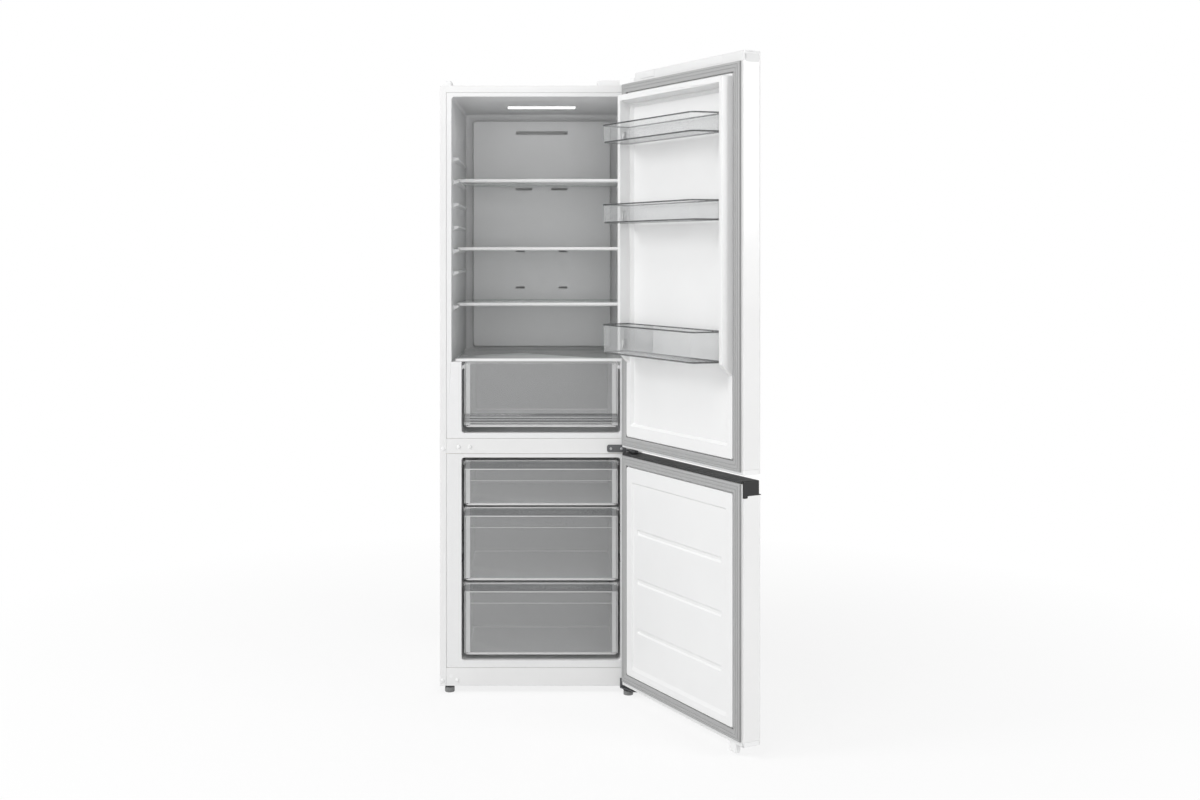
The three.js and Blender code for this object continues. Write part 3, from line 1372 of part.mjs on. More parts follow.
const coverGlassFront = COVER_SETBACK + COVER_TRIM_DEPTH - 6;
const COVER_WIDTH = 2 * fridgeHalf - 21;
const crisperCoverGlass = () =>
  alongZ(
    plate(-COVER_WIDTH / 2 + 1, COVER_WIDTH / 2 - 1, coverGlassFront, shelfBack, 4),
    crisperLedge + SEAT_GAP,
    crisperLedge + SEAT_GAP + GLASS,
  );
const crisperCoverTrim = () =>
  cut(
    edgeTrim(
      COVER_WIDTH,
      COVER_SETBACK,
      COVER_TRIM_DEPTH,
      coverGlassFront,
      crisperLedge + SEAT_GAP,
      COVER_TRIM_HEIGHT,
      1.6,
    ),
    block(-half, half, 0, 60, crisperLedge - 5, crisperLedge + SEAT_GAP),
  );

// The rear duct of the fridge: a moulding hollowed from behind, with outlets cut into its face.
const VENT_ROWS = [
  { level: 1687.5, height: 11, spans: [[-84, 84]] },
  { level: 1531, height: 8, spans: [[-85.5, -32.6], [31, 82.7]] },
  { level: 1503.5, height: 8, spans: [[-85.5, -32.6], [31, 82.7]] },
  { level: 1300, height: 6, spans: [[-85.5, -57], [56, 82.7]] },
  { level: 1180, height: 6, spans: [[-85.5, -57], [56, 82.7]] },
];
const ventCuts = (rows, y0, y1) =>
  rows.flatMap(({ level, height, spans }) =>
    spans.map(([a, b]) =>
      alongY(plate(a, b, level - height / 2, level + height / 2), y0, y1),
    ),
  );

function fridgeDuctPanel() {
  const back = linerBack - SEAT_GAP;
  const front = linerBack - DUCT_PANEL_THICKNESS;
  const x = fridgeHalf - DUCT_PANEL_SIDE_GAP;
  const outline = [-x, x, crisperLedge + DUCT_PANEL_LIFT, fridgeCeiling - DUCT_PANEL_TOP_GAP];
  const body = loft([
    roundedRing(outline, 8, inDepth(back - LINER_BACK_FILLET * 0.8)),
    roundedRing(shrink(outline, 1.5), 8, inDepth(front + 3)),
    roundedRing(shrink(outline, 4), 8, inDepth(front)),
  ]).add(
    taper(shrink(outline, 6), back - LINER_BACK_FILLET * 0.8 - 1, shrink(outline, 14), back, 8),
  );
  const channel = block(
    -DUCT_CHANNEL_WIDTH / 2,
    DUCT_CHANNEL_WIDTH / 2,
    front + DUCT_FACE,
    back + 1,
    VENT_ROWS[VENT_ROWS.length - 1].level - 20,
    VENT_ROWS[0].level + 14,
  );
  return cut(body, channel, ...ventCuts(VENT_ROWS, front - 1, front + DUCT_FACE + 1));
}

const freezerPanelFront = linerBack - FREEZER_PANEL_DEPTH;
const fanLevel = freezerCeiling - 75;
// The freezer's rear panel: a cover over the coil and fan, open behind and slotted in front.
function freezerDuctPanel() {
  const x = wallAt(freezerHalf, linerBack, linerBack) - 4;
  const back = linerBack - LINER_BACK_FILLET - 1;
  const outline = [-x, x, humpTop + SEAT_GAP, freezerCeiling - 3];
  const shell = taper(shrink(outline, 2), freezerPanelFront, outline, back, 8);
  const inside = taper(
    shrink(outline, 2 + FREEZER_PANEL_WALL),
    freezerPanelFront + FREEZER_PANEL_WALL,
    shrink(outline, FREEZER_PANEL_WALL),
    back + 1,
    6,
  );
  const slotSpans = [-160, -50, 60].map((a) => [a, a + 100]);
  const rows = [
    { level: fanLevel + 45, height: 9, spans: slotSpans },
    { level: fanLevel - 70, height: 9, spans: slotSpans },
    { level: humpTop + 24, height: 9, spans: slotSpans },
    { level: humpTop + 42, height: 9, spans: slotSpans },
  ];
  return cut(shell, inside, ...ventCuts(rows, freezerPanelFront - 2, freezerPanelFront + 8));
}

const lampLens = () => {
  const [x0, x1, y0, y1] = lampBox(-SEAT_GAP);
  const box = [x0, x1, y0, y1];
  return loft([
    roundedRing(box, 3.5, atHeight(fridgeCeiling + LAMP_POCKET - SEAT_GAP)),
    roundedRing(box, 3.5, atHeight(fridgeCeiling + 1)),
    roundedRing(shrink(box, 3), 3.5, atHeight(fridgeCeiling - 1.5)),
  ]);
};

// ---------------------------------------------------------------- drawers
// One moulding: a tray with drafted sides and rounded corners, a lip that rides on the runners,
// and a flat face with a moulded band near its top edge to pull it by.
function drawer({ bottom, height, depth }) {
  const top = bottom + height;
  const faceHalf = freezerHalf - DRAWER_FACE_GAP;
  const bodyHalf = freezerHalf - RUNNER_NOSE - 1;
  const front = DRAWER_SETBACK;
  const back = front + depth;
  const lipHalf = bodyHalf + DRAWER_LIP;
  const ring = (x, y0, y1, z, r) => roundedRing([-x, x, y0, y1], r, atHeight(z));
  const low = bodyHalf - DRAWER_DRAFT;
  const wall = DRAWER_WALL;
  const yIn = front + DRAWER_FACE;
  const c = DRAWER_CORNER;
  const tray = loft([
    ring(low, front + 1, back - DRAWER_DRAFT, bottom, c),
    ring(bodyHalf, front + 1, back - wall, top - DRAWER_LIP_HEIGHT, c),
    ring(lipHalf, front + 1, back, top - DRAWER_LIP_HEIGHT, c),
    ring(lipHalf, front + 1, back, top, c),
    ring(bodyHalf - wall + 1, yIn, back - wall - 1, top, c - wall),
    ring(bodyHalf - wall, yIn, back - wall - 1, top - DRAWER_LIP_HEIGHT - wall, c - wall),
    ring(low - wall, yIn, back - DRAWER_DRAFT - wall, bottom + wall, c - wall),
  ]);
  const face = alongY(plate(-faceHalf, faceHalf, bottom, top, 9), front, yIn);
  const grip = alongX(
    polygon([
      [front + 0.5, top - 14],
      [front - 4, top - 18],
      [front - 4, top - 20.5],
      [front + 0.5, top - 20.5],
    ]),
    -faceHalf + 6,
    faceHalf - 6,
  );
  return join(tray, face, grip);
}

// ---------------------------------------------------------------- machinery
const panFloor = CABINET_BASE + PAN_CLEARANCE;
const panFront = machineFront - 24;
const panBack = CABINET_DEPTH - 8;
const panHalf = half - STEEL - SEAT_GAP;
const rollerX = half - ROLLER_INSET;
const rollerY = CABINET_DEPTH - ROLLER_SETBACK;
const rollerZ = ROLLER_DIAMETER / 2;

// The pressed pan under the machinery: rim all round, stiffening bars, and a fork for each roller.
function basePan() {
  const outline = [-panHalf, panHalf, panFront, panBack];
  const pan = loft([
    roundedRing(shrink(outline, 2), 10, atHeight(panFloor)),
    roundedRing(outline, 10, atHeight(panFloor + PAN_RIM)),
    roundedRing(shrink(outline, PAN_SHEET), 9, atHeight(panFloor + PAN_RIM)),
    roundedRing(shrink(outline, 2 + PAN_SHEET), 8, atHeight(panFloor + PAN_SHEET)),
  ]);
  const bar = (y) => {
    const base = [-panHalf + 90, panHalf - 90, y - 8, y + 8];
    return loft([
      roundedRing(base, 6, atHeight(panFloor + PAN_SHEET - 0.5)),
      roundedRing(shrink(base, 3), 4, atHeight(panFloor + PAN_SHEET + 3)),
    ]);
  };
  const gapHalf = ROLLER_WIDTH / 2 + 1;
  const slotLength = ROLLER_DIAMETER / 2 + ROLLER_CLEARANCE;
  const well = (side) => {
    const x = side * rollerX;
    const top = panFloor + PAN_SHEET + 1;
    return block(x - gapHalf, x + gapHalf, rollerY - slotLength, rollerY + slotLength, panFloor - 12, top);
  };
  const fork = (side) => {
    const x = side * rollerX;
    const ear = new THREE.Shape();
    ear.moveTo(rollerY - 12, panFloor + 1);
    ear.lineTo(rollerY - 7, rollerZ);
    ear.absarc(rollerY, rollerZ, 7, Math.PI, 2 * Math.PI);
    ear.lineTo(rollerY + 12, panFloor + 1);
    return join(
      alongX(ear, x - gapHalf - FORK_WALL, x - gapHalf),
      alongX(ear, x + gapHalf, x + gapHalf + FORK_WALL),
    );
  };
  const bore = (side) =>
    rod(
      ROLLER_AXLE / 2 + SEAT_GAP,
      new THREE.Vector3(side * rollerX - 30, rollerY, rollerZ),
      new THREE.Vector3(side * rollerX + 30, rollerY, rollerZ),
    );
  return cut(
    join(pan, bar(panFront + 30), bar(panBack - 58), fork(-1), fork(1)),
    well(-1),
    well(1),
    bore(-1),
    bore(1),
  );
}

// A roller with a shallow tread and a boss, turned round its axle.
function rearRoller(side) {
  const r = ROLLER_DIAMETER / 2;
  const w = ROLLER_WIDTH / 2;
  const bore = ROLLER_AXLE / 2 + RUN_GAP;
  const profile = [
    [bore, -w],
    [6, -w],
    [7, -w + 2],
    [r - 2, -w + 2],
    [r, -w + 4],
    [r, w - 4],
    [r - 2, w - 2],
    [7, w - 2],
    [6, w],
    [bore, w],
    [bore, -w],
  ].map(([a, b]) => new THREE.Vector2(a, b));
  const wheel = new THREE.LatheGeometry(profile, 16);
  wheel.rotateZ(Math.PI / 2);
  wheel.translate(side * rollerX, rollerY, rollerZ);
  return solidOf(wheel);
}

function rollerAxle(side) {
  const reach = ROLLER_WIDTH / 2 + 1 + FORK_WALL;
  const at = (along) => new THREE.Vector3(side * rollerX + along, rollerY, rollerZ);
  const head = (from, to) => rod(ROLLER_AXLE / 2 + 1.5, at(from), at(to));
  return join(
    rod(ROLLER_AXLE / 2, at(-reach - 1.5), at(reach + 1.5)),
    head(-reach - 2, -reach - SEAT_GAP),
    head(reach + SEAT_GAP, reach + 2),
  );
}

// A sealed compressor: a domed can on three rubber-footed legs, with its pipe stubs.
const compressorY = (machineFront + CABINET_DEPTH) / 2 + 2;
function compressor() {
  const base = panFloor + PAN_SHEET + SEAT_GAP;
  const r = COMPRESSOR_DIAMETER / 2;
  const z0 = base + COMPRESSOR_STAND;
  const z1 = z0 + COMPRESSOR_HEIGHT;
  const seam = z0 + COMPRESSOR_HEIGHT * 0.48;
  const profile = new THREE.Path();
  profile.moveTo(0, z0);
  profile.lineTo(r * 0.55, z0);
  profile.quadraticCurveTo(r * 0.95, z0 + 2, r * 0.96, z0 + 32);
  profile.lineTo(r * 0.96, seam - 3);
  profile.lineTo(r, seam - 3);
  profile.lineTo(r, seam + 3);
  profile.lineTo(r * 0.96, seam + 3);
  profile.lineTo(r * 0.94, z1 - 42);
  profile.quadraticCurveTo(r * 0.9, z1 - 2, 0, z1);
  const can = new THREE.LatheGeometry(profile.getPoints(4), 20);
  can.rotateX(Math.PI / 2);
  can.translate(COMPRESSOR_X, compressorY, 0);
  const mountReach = r * 0.98;
  const mounts = [
    [-1, -1],
    [1, -1],
    [-1, 1],
    [1, 1],
  ].map(([sx, sy]) => {
    const x = COMPRESSOR_X + sx * mountReach;
    const y = compressorY + sy * (r - 16);
    return upright(9, x, y, base, z0 + 3, 12);
  });
  const strap = (sy) => {
    const y = compressorY + sy * (r - 16);
    const shape = plate(COMPRESSOR_X - mountReach - 12, COMPRESSOR_X + mountReach + 12, y - 12, y + 12, 10);
    return alongZ(shape, z0 - 3, z0 + 3);
  };
  const stub = (x, z, rise) => {
    const path = new THREE.QuadraticBezierCurve3(
      new THREE.Vector3(COMPRESSOR_X + x, compressorY, z),
      new THREE.Vector3(COMPRESSOR_X + x * 1.55, compressorY, z),
      new THREE.Vector3(COMPRESSOR_X + x * 1.6, compressorY, z + rise),
    );
    const ringShape = polygon(
      Array.from({ length: 8 }, (_, i) => [4 * Math.cos((i * Math.PI) / 4), 4 * Math.sin((i * Math.PI) / 4)]),
    );
    return solidOf(new THREE.ExtrudeGeometry(ringShape, { steps: 4, extrudePath: path }));
  };
  return join(
    solidOf(can),
    ...mounts,
    strap(-1),
    strap(1),
    stub(-r * 0.85, seam + 20, 30),
    stub(-r * 0.85, z0 + 30, 26),
    stub(r * 0.85, seam - 20, 34),
  );
}

// The tray above the compressor where melt water evaporates.
function dripTray() {
  const z0 = panFloor + PAN_SHEET + SEAT_GAP + COMPRESSOR_STAND + COMPRESSOR_HEIGHT + SEAT_GAP;
  const x = DRIP_TRAY_WIDTH / 2;
  const y = DRIP_TRAY_DEPTH / 2;
  const outline = [COMPRESSOR_X - x, COMPRESSOR_X + x, compressorY - y, compressorY + y];
  const ring = (inset, z, r) => roundedRing(shrink(outline, inset), r, atHeight(z));
  return loft([
    ring(6, z0, 10),
    ring(0, z0 + DRIP_TRAY_HEIGHT, 14),
    ring(2, z0 + DRIP_TRAY_HEIGHT, 12),
    ring(8, z0 + 2, 8),
  ]);
}

// The slotted rear cover of the machine compartment.
function compressorCover() {
  const y0 = CABINET_DEPTH - STEEL - SEAT_GAP - 1.6;
  const x = half - skinInside;
  const sheet = plate(-x, x, panFloor + PAN_RIM + 3, machineTop - STEEL - SEAT_GAP, 2);
  const low = panFloor + PAN_RIM + 40;
  const pitch = (machineTop - low - 30) / (COVER_SLOTS - 1);
  const slots = [-1, 0, 1].flatMap((column) =>
    Array.from({ length: COVER_SLOTS }, (_, row) => {
      const a = column * (COVER_SLOT_WIDTH + 30) - COVER_SLOT_WIDTH / 2;
      const b = low + row * pitch;
      return alongY(
        plate(a, a + COVER_SLOT_WIDTH, b, b + COVER_SLOT_HEIGHT),
        y0 - 1,
        y0 + 3,
      );
    }),
  );
  return cut(alongY(sheet, y0, y0 + 1.6), ...slots);
}

// The evaporator: a finned block with its tube's return bends showing at both ends.
const coilBottom = humpTop + 60;
const COIL_DEPTH = 48;
const coilFront = linerBack - SEAT_GAP - COIL_DEPTH;
function evaporator() {
  const x = freezerHalf - COIL_SIDE_GAP;
  const middle = coilFront + COIL_DEPTH / 2;
  const core = block(-x, x, middle - 12, middle + 12, coilBottom + 6, coilBottom + COIL_HEIGHT - 6);
  const fins = Array.from({ length: COIL_FINS }, (_, i) => {
    const at = -x + (2 * x * i) / (COIL_FINS - 1);
    const fin = plate(coilFront, coilFront + COIL_DEPTH, coilBottom, coilBottom + COIL_HEIGHT);
    return alongX(fin, at - 0.6, at + 0.6);
  });
  const pitch = COIL_HEIGHT / COIL_ROWS;
  const bend = (side, row) => {
    const z = coilBottom + pitch * (row + 0.5);
    const path = new THREE.CubicBezierCurve3(
      new THREE.Vector3(side * (x - 3), middle, z),
      new THREE.Vector3(side * (x + 22), middle, z),
      new THREE.Vector3(side * (x + 22), middle, z + pitch),
      new THREE.Vector3(side * (x - 3), middle, z + pitch),
    );
    const ringShape = polygon(
      Array.from({ length: 6 }, (_, i) => [
        (COIL_TUBE / 2) * Math.cos((i * Math.PI) / 3),
        (COIL_TUBE / 2) * Math.sin((i * Math.PI) / 3),
      ]),
    );
    return solidOf(new THREE.ExtrudeGeometry(ringShape, { steps: 4, extrudePath: path }));
  };
  const bends = Array.from({ length: COIL_ROWS - 1 }, (_, row) => bend(row % 2 ? -1 : 1, row));
  return join(core, ...fins, ...bends);
}

// An axial fan: a domed hub and blades whose pitch eases from root to tip.
const fanFront = freezerPanelFront + FREEZER_PANEL_WALL + 10;
function evaporatorFan() {
  const middle = fanFront + FAN_WIDTH / 2;
  const hubRadius = FAN_HUB / 2;
  const hub = rod(hubRadius, new THREE.Vector3(0, fanFront, fanLevel), new THREE.Vector3(0, fanFront + FAN_WIDTH, fanLevel), 20);
  const nose = new THREE.SphereGeometry(hubRadius, 20, 8);
  nose.scale(1, 0.4, 1);
  nose.translate(0, fanFront + 1, fanLevel);
  const blade = (turn) => {
    const stations = 4;
    const rings = Array.from({ length: stations }, (_, i) => {
      const share = i / (stations - 1);
      const radius = hubRadius - 3 + share * (FAN_DIAMETER / 2 - hubRadius + 3);
      const pitch = THREE.MathUtils.degToRad(58 - 26 * share);
      const chord = 18 + 16 * share;
      const thick = 2.6 - 1.2 * share;
      const sweep = turn + 0.25 * share;
      const across = [
        [-chord / 2, -thick / 4],
        [0, -thick / 2],
        [chord / 2, -thick / 4],
        [chord / 2, thick / 4],
        [0, thick / 2],
        [-chord / 2, thick / 4],
      ];
      return across.map(([c, t]) => {
        const round = c * Math.sin(pitch) + t * Math.cos(pitch);
        const along = c * Math.cos(pitch) - t * Math.sin(pitch);
        const angle = sweep + round / radius;
        return new THREE.Vector3(radius * Math.cos(angle), middle + along * 0.55, fanLevel + radius * Math.sin(angle));
      });
    });
    return loft(rings);
  };
  const blades = Array.from({ length: FAN_BLADES }, (_, i) => blade((i * 2 * Math.PI) / FAN_BLADES));
  const shaftHole = rod(
    FAN_SHAFT / 2 + RUN_GAP,
    new THREE.Vector3(0, fanFront + 8, fanLevel),
    new THREE.Vector3(0, fanFront + FAN_WIDTH + 1, fanLevel),
  );
  return cut(join(hub, solidOf(nose), ...blades), shaftHole);
}

// The fan's motor stands off the liner's back on a bracket plate; its shaft enters the hub.
function fanMotor() {
  const back = linerBack - SEAT_GAP;
  const front = fanFront + FAN_WIDTH + RUN_GAP;
  const at = (y) => new THREE.Vector3(0, y, fanLevel);
  const plateShape = plate(-44, 44, fanLevel - 30, fanLevel + 30, 8);
  return join(
    rod(21, at(front), at(back - 2), 20),
    alongY(plateShape, back - 3, back),
    rod(FAN_SHAFT / 2, at(fanFront + 9), at(front + 1)),
  );
}

// ---------------------------------------------------------------- feet
// An adjustable foot: fluted pad, lock nut and threaded stem up into what carries it.
function foot({ x, y }, nutTop) {
  const r = FOOT_DIAMETER / 2;
  const nutBottom = nutTop - 3;
  const stemTop = CABINET_BASE + 8;
  const profile = [
    [0, 0],
    [r - 2, 0],
    [r, 2],
    [r, nutBottom - 3],
    [r - 2, nutBottom - 1],
    [r - 4, nutBottom],
    [FOOT_NUT / 2, nutBottom],
    [FOOT_NUT / 2, nutTop - 0.5],
    [FOOT_NUT / 2 - 1, nutTop],
    [FOOT_STEM / 2, nutTop],
    [FOOT_STEM / 2, stemTop],
    [0, stemTop],
  ].map(([a, b]) => new THREE.Vector2(a, b));
  const turned = new THREE.LatheGeometry(profile, 16);
  turned.rotateX(Math.PI / 2);
  turned.translate(x, y, 0);
  return solidOf(turned);
}

// ---------------------------------------------------------------- assembly
const refrigerator = new THREE.Group();

const cabinet = new THREE.Group();
cabinet.add(
  meshOf("cabinet_shell", cabinetShell(), MATERIALS.steelWhite),
  meshOf("back_panel", backPanel(), MATERIALS.steelWhite),
  meshOf("floor_plate", floorPlate(), MATERIALS.zinc),
  meshOf("cabinet_foam", cabinetFoam(), MATERIALS.foam),
  meshOf("mullion_bar", mullionBar(), MATERIALS.steelWhite),
  meshOf("bottom_rail", bottomRail(), MATERIALS.steelWhite),
  meshOf("fridge_liner", fridgeLiner(), MATERIALS.liner),
  meshOf("freezer_liner", freezerLiner(), MATERIALS.linerWhite),
  meshOf("lamp_lens", lampLens(), MATERIALS.lens),
  meshOf("fridge_duct_panel", fridgeDuctPanel(), MATERIALS.liner),
  meshOf("freezer_duct_panel", freezerDuctPanel(), MATERIALS.linerWhite),
  meshOf("crisper_cover_glass", crisperCoverGlass(), MATERIALS.glass),
  meshOf("crisper_cover_trim", crisperCoverTrim(), MATERIALS.trimWhite),
  meshOf("top_hinge", topHinge(), MATERIALS.hingeSteel),
  meshOf("top_hinge_cover", topHingeCover(), MATERIALS.trimWhite),
  meshOf("hinge_blank_cover", hingeBlankCover(), MATERIALS.trimWhite),
  meshOf("mid_hinge", midHinge(), MATERIALS.hingeSteel),
  meshOf("bottom_hinge", bottomHinge(), MATERIALS.hingeSteel),
);

const machinery = new THREE.Group();
machinery.add(
  meshOf("base_pan", basePan(), MATERIALS.zinc),
  meshOf("compressor", compressor(), MATERIALS.black),
  meshOf("drip_tray", dripTray(), MATERIALS.black),
  meshOf("compressor_cover", compressorCover(), MATERIALS.steelWhite),
  meshOf("evaporator", evaporator(), MATERIALS.aluminium),
  meshOf("evaporator_fan", evaporatorFan(), MATERIALS.trimWhite),
  meshOf("fan_motor", fanMotor(), MATERIALS.black),
);
for (const [side, word] of [
  [-1, "left"],
  [1, "right"],
]) {
  machinery.add(
    meshOf("rear_roller_" + word, rearRoller(side), MATERIALS.rollerGrey),
    meshOf("roller_axle_" + word, rollerAxle(side), MATERIALS.zinc),
  );
}

const feet = new THREE.Group();
feet.add(
  meshOf("front_foot_left", foot(footLeft, CABINET_BASE - RUN_GAP), MATERIALS.footGrey),
  meshOf(
    "front_foot_right",
    foot(footRight, bracketTop - HINGE_PLATE - RUN_GAP),
    MATERIALS.footGrey,
  ),
);

const interior = new THREE.Group();
shelfLevels.forEach((level, i) => {
  interior.add(
    meshOf("shelf_glass_" + (i + 1), shelfGlass(level), MATERIALS.glass),
    meshOf("shelf_trim_" + (i + 1), shelfTrim(level), MATERIALS.trimWhite),
  );
});
interior.add(meshOf("crisper_drawer", drawer(crisperDrawer), MATERIALS.clear));
for (const item of freezerDrawers) interior.add(meshOf(item.name, drawer(item), MATERIALS.clear));

// Each door is drawn closed, and its group turns it about the hinge axis.
function openDoor(...pieces) {
  const closed = new THREE.Group();
  closed.position.set(-hinge.x, -hinge.y, 0);
  closed.add(...pieces);
  const swung = new THREE.Group();
  swung.rotation.z = THREE.MathUtils.degToRad(DOOR_OPEN_ANGLE);
  swung.position.set(hinge.x, hinge.y, 0);
  swung.add(closed);
  return swung;
}

const upperSidesBottom = upperDoorBottom + BOTTOM_CAP_HEIGHT + SEAT_GAP;
const upperSidesTop = upperDoorTop - TOP_CAP_HEIGHT - SEAT_GAP;
const upperSkin = doorSkin(upperDoorBottom, upperDoorTop, upperSidesBottom, upperSidesTop);
const upperDoor = openDoor(
  meshOf("upper_door_skin", upperSkin, MATERIALS.steelWhite),
  meshOf("upper_door_foam", upperFoam(), MATERIALS.foam),
  meshOf("upper_door_liner", upperLiner(), MATERIALS.linerWhite),
  meshOf("upper_door_gasket", gasket(upperGasketBottom, gasketTop), MATERIALS.gasket),
  meshOf("upper_door_top_cap", upperTopCap(), MATERIALS.trimWhite),
  meshOf("upper_door_bottom_cap", bottomCap(upperDoorBottom), MATERIALS.trimWhite),
  ...bins.map((bin) => meshOf(bin.name, doorBin(bin), MATERIALS.smoke)),
);

const lowerDoor = openDoor(
  meshOf("lower_door_skin", lowerSkin(), MATERIALS.steelWhite),
  meshOf("lower_door_foam", lowerFoam(), MATERIALS.foam),
  meshOf("lower_door_liner", doorLiner(lowerForm), MATERIALS.linerWhite),
  meshOf("lower_door_gasket", gasket(lowerGasketBottom, lowerGasketTop), MATERIALS.gasket),
  meshOf("handle_profile", handleProfile(), MATERIALS.darkGrip),
  meshOf("handle_end_cap_left", handleEndCapLeft(), MATERIALS.darkGrip),
  meshOf("handle_end_cap_right", handleEndCapRight(), MATERIALS.darkGrip),
  meshOf("lower_door_bottom_cap", lowerBottomCap(), MATERIALS.trimWhite),
);

refrigerator.add(cabinet, machinery, feet, interior, upperDoor, lowerDoor);

// The origin is the middle of the footprint, at floor level, with the doors as they stand.
refrigerator.updateMatrixWorld(true);
const reach = new THREE.Box3().setFromObject(refrigerator, true);
const footprint = reach.getCenter(new THREE.Vector3());
refrigerator.position.set(-footprint.x, -footprint.y, -reach.min.z);
refrigerator.updateMatrixWorld(true);

export default refrigerator;
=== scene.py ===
"""A white bottom-freezer refrigerator with both doors standing open.

Lengths are in millimetres where a shape is worked out, and metres in the meshes. A piece is drawn in
the cabinet's own frame: x to the right from the middle of the front plane, y back, z up from the
floor. A piece of a door is drawn with the door closed and then swung open about its hinge axis.
"""
import json
import math

import bmesh
import bpy
import numpy as np
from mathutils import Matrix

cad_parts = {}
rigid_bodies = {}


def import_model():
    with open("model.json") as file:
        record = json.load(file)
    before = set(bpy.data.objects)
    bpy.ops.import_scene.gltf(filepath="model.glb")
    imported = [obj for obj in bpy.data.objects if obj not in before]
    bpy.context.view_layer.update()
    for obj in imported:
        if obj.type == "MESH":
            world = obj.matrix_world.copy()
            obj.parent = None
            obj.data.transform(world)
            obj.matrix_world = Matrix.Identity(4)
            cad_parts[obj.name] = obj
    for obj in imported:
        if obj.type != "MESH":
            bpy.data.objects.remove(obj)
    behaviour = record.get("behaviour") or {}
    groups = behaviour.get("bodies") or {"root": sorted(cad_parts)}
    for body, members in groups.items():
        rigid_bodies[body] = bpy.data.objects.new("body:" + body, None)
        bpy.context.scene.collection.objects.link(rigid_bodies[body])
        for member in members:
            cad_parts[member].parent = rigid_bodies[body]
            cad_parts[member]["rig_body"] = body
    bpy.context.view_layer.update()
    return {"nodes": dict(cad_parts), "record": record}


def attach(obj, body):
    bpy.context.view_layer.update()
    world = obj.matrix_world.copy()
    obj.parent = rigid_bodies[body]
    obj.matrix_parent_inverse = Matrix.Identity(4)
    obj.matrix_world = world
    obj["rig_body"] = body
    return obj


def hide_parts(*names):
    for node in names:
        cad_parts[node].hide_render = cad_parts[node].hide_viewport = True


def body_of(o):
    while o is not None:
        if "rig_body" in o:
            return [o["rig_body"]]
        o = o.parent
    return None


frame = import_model()
NODES = frame["nodes"]

# ------------------------------------------------------------------ the object's own measures, mm
HINGE = np.array([273.5, -38.0])               # the doors' axis, seen from above
SWING = math.radians(118.3)                    # how far both doors stand open
SHIFT = np.array([-135.0185, -7.9865, 0.0])    # from the cabinet's frame to the frame that is loaded
GROOVE_LEVELS = (213.5, 355.5, 496.0)          # middles of the grooves in the lower door's liner
CAP_INNER_FACE = -10.0                         # y of the upper door's top cap, with the door closed
CAP_LEFT_END = -297.2                          # x of that cap's end on the side away from the hinge
HINGE_PLATE_FRONT = -3.4                       # y of the middle hinge's plate
BACK_FACE = 569.7                              # y of the back panel
COVER_FACE = 569.2                             # y of the cover over the compressor
MERGED_BELOW = 2e-6                            # metres: points nearer than this become one


# ------------------------------------------------------------------ camera, floor and light
def photograph_camera():
    """A level camera in front of the cabinet, whose view is shifted down and to the right.

    Focal length and shifts are those of a picture 1200 by 800 points large, in its own points.
    """
    wide, high, focal, sensor = 1200.0, 800.0, 1397.0, 36.0
    vanishing_x, vanishing_y = 549.1, 253.3
    stands_at = np.array([23.8, -4110.0, 1292.5])
    lens = bpy.data.cameras.new("photograph_camera")
    lens.lens = focal / wide * sensor
    lens.sensor_width = sensor
    lens.sensor_fit = "HORIZONTAL"
    lens.shift_x = (wide / 2.0 - vanishing_x) / wide
    lens.shift_y = (vanishing_y - high / 2.0) / wide
    lens.clip_end = 60.0
    camera = bpy.data.objects.new("photograph_camera", lens)
    camera.location = (stands_at + SHIFT) / 1000.0
    camera.rotation_euler = (math.radians(90.0), 0.0, 0.0)
    bpy.context.scene.collection.objects.link(camera)
    bpy.context.scene.camera = camera


def softbox(name, place, target, width, height, watts):
    """A rectangular soft lamp that faces its target."""
    lamp = bpy.data.lights.new(name, "AREA")
    lamp.shape = "RECTANGLE"
    lamp.size, lamp.size_y = width, height
    lamp.energy = watts
    holder = bpy.data.objects.new(name, lamp)
    holder.location = place
    gaze = np.array(target, float) - np.array(place, float)
    flat = math.hypot(gaze[0], gaze[1])
    holder.rotation_euler = (math.atan2(flat, -gaze[2]), 0.0, math.atan2(-gaze[0], gaze[1]))
    holder.visible_camera = False
    bpy.context.scene.collection.objects.link(holder)


def studio_world(level):
    """An even surround that gives light of a level, and is seen as plain white, also through glass."""
    world = bpy.data.worlds.new("studio")
    bpy.context.scene.world = world
    world.use_nodes = True
    tree = world.node_tree
    tree.nodes.clear()
    out = tree.nodes.new("ShaderNodeOutputWorld")
    path = tree.nodes.new("ShaderNodeLightPath")
    seen = tree.nodes.new("ShaderNodeBackground")
    seen.inputs["Color"].default_value = (1.0, 1.0, 1.0, 1.0)
    seen.inputs["Strength"].default_value = 1.0
    lit = tree.nodes.new("ShaderNodeBackground")
    lit.inputs["Color"].default_value = (1.0, 1.0, 1.0, 1.0)
    lit.inputs["Strength"].default_value = level
    mix = tree.nodes.new("ShaderNodeMixShader")
    either = tree.nodes.new("ShaderNodeMath")
    either.operation = "MAXIMUM"
    tree.links.new(path.outputs["Is Camera Ray"], either.inputs[0])
    tree.links.new(path.outputs["Is Transmission Ray"], either.inputs[1])
    tree.links.new(either.outputs[0], mix.inputs[0])
    tree.links.new(lit.outputs[0], mix.inputs[1])
    tree.links.new(seen.outputs[0], mix.inputs[2])
    tree.links.new(mix.outputs[0], out.inputs["Surface"])


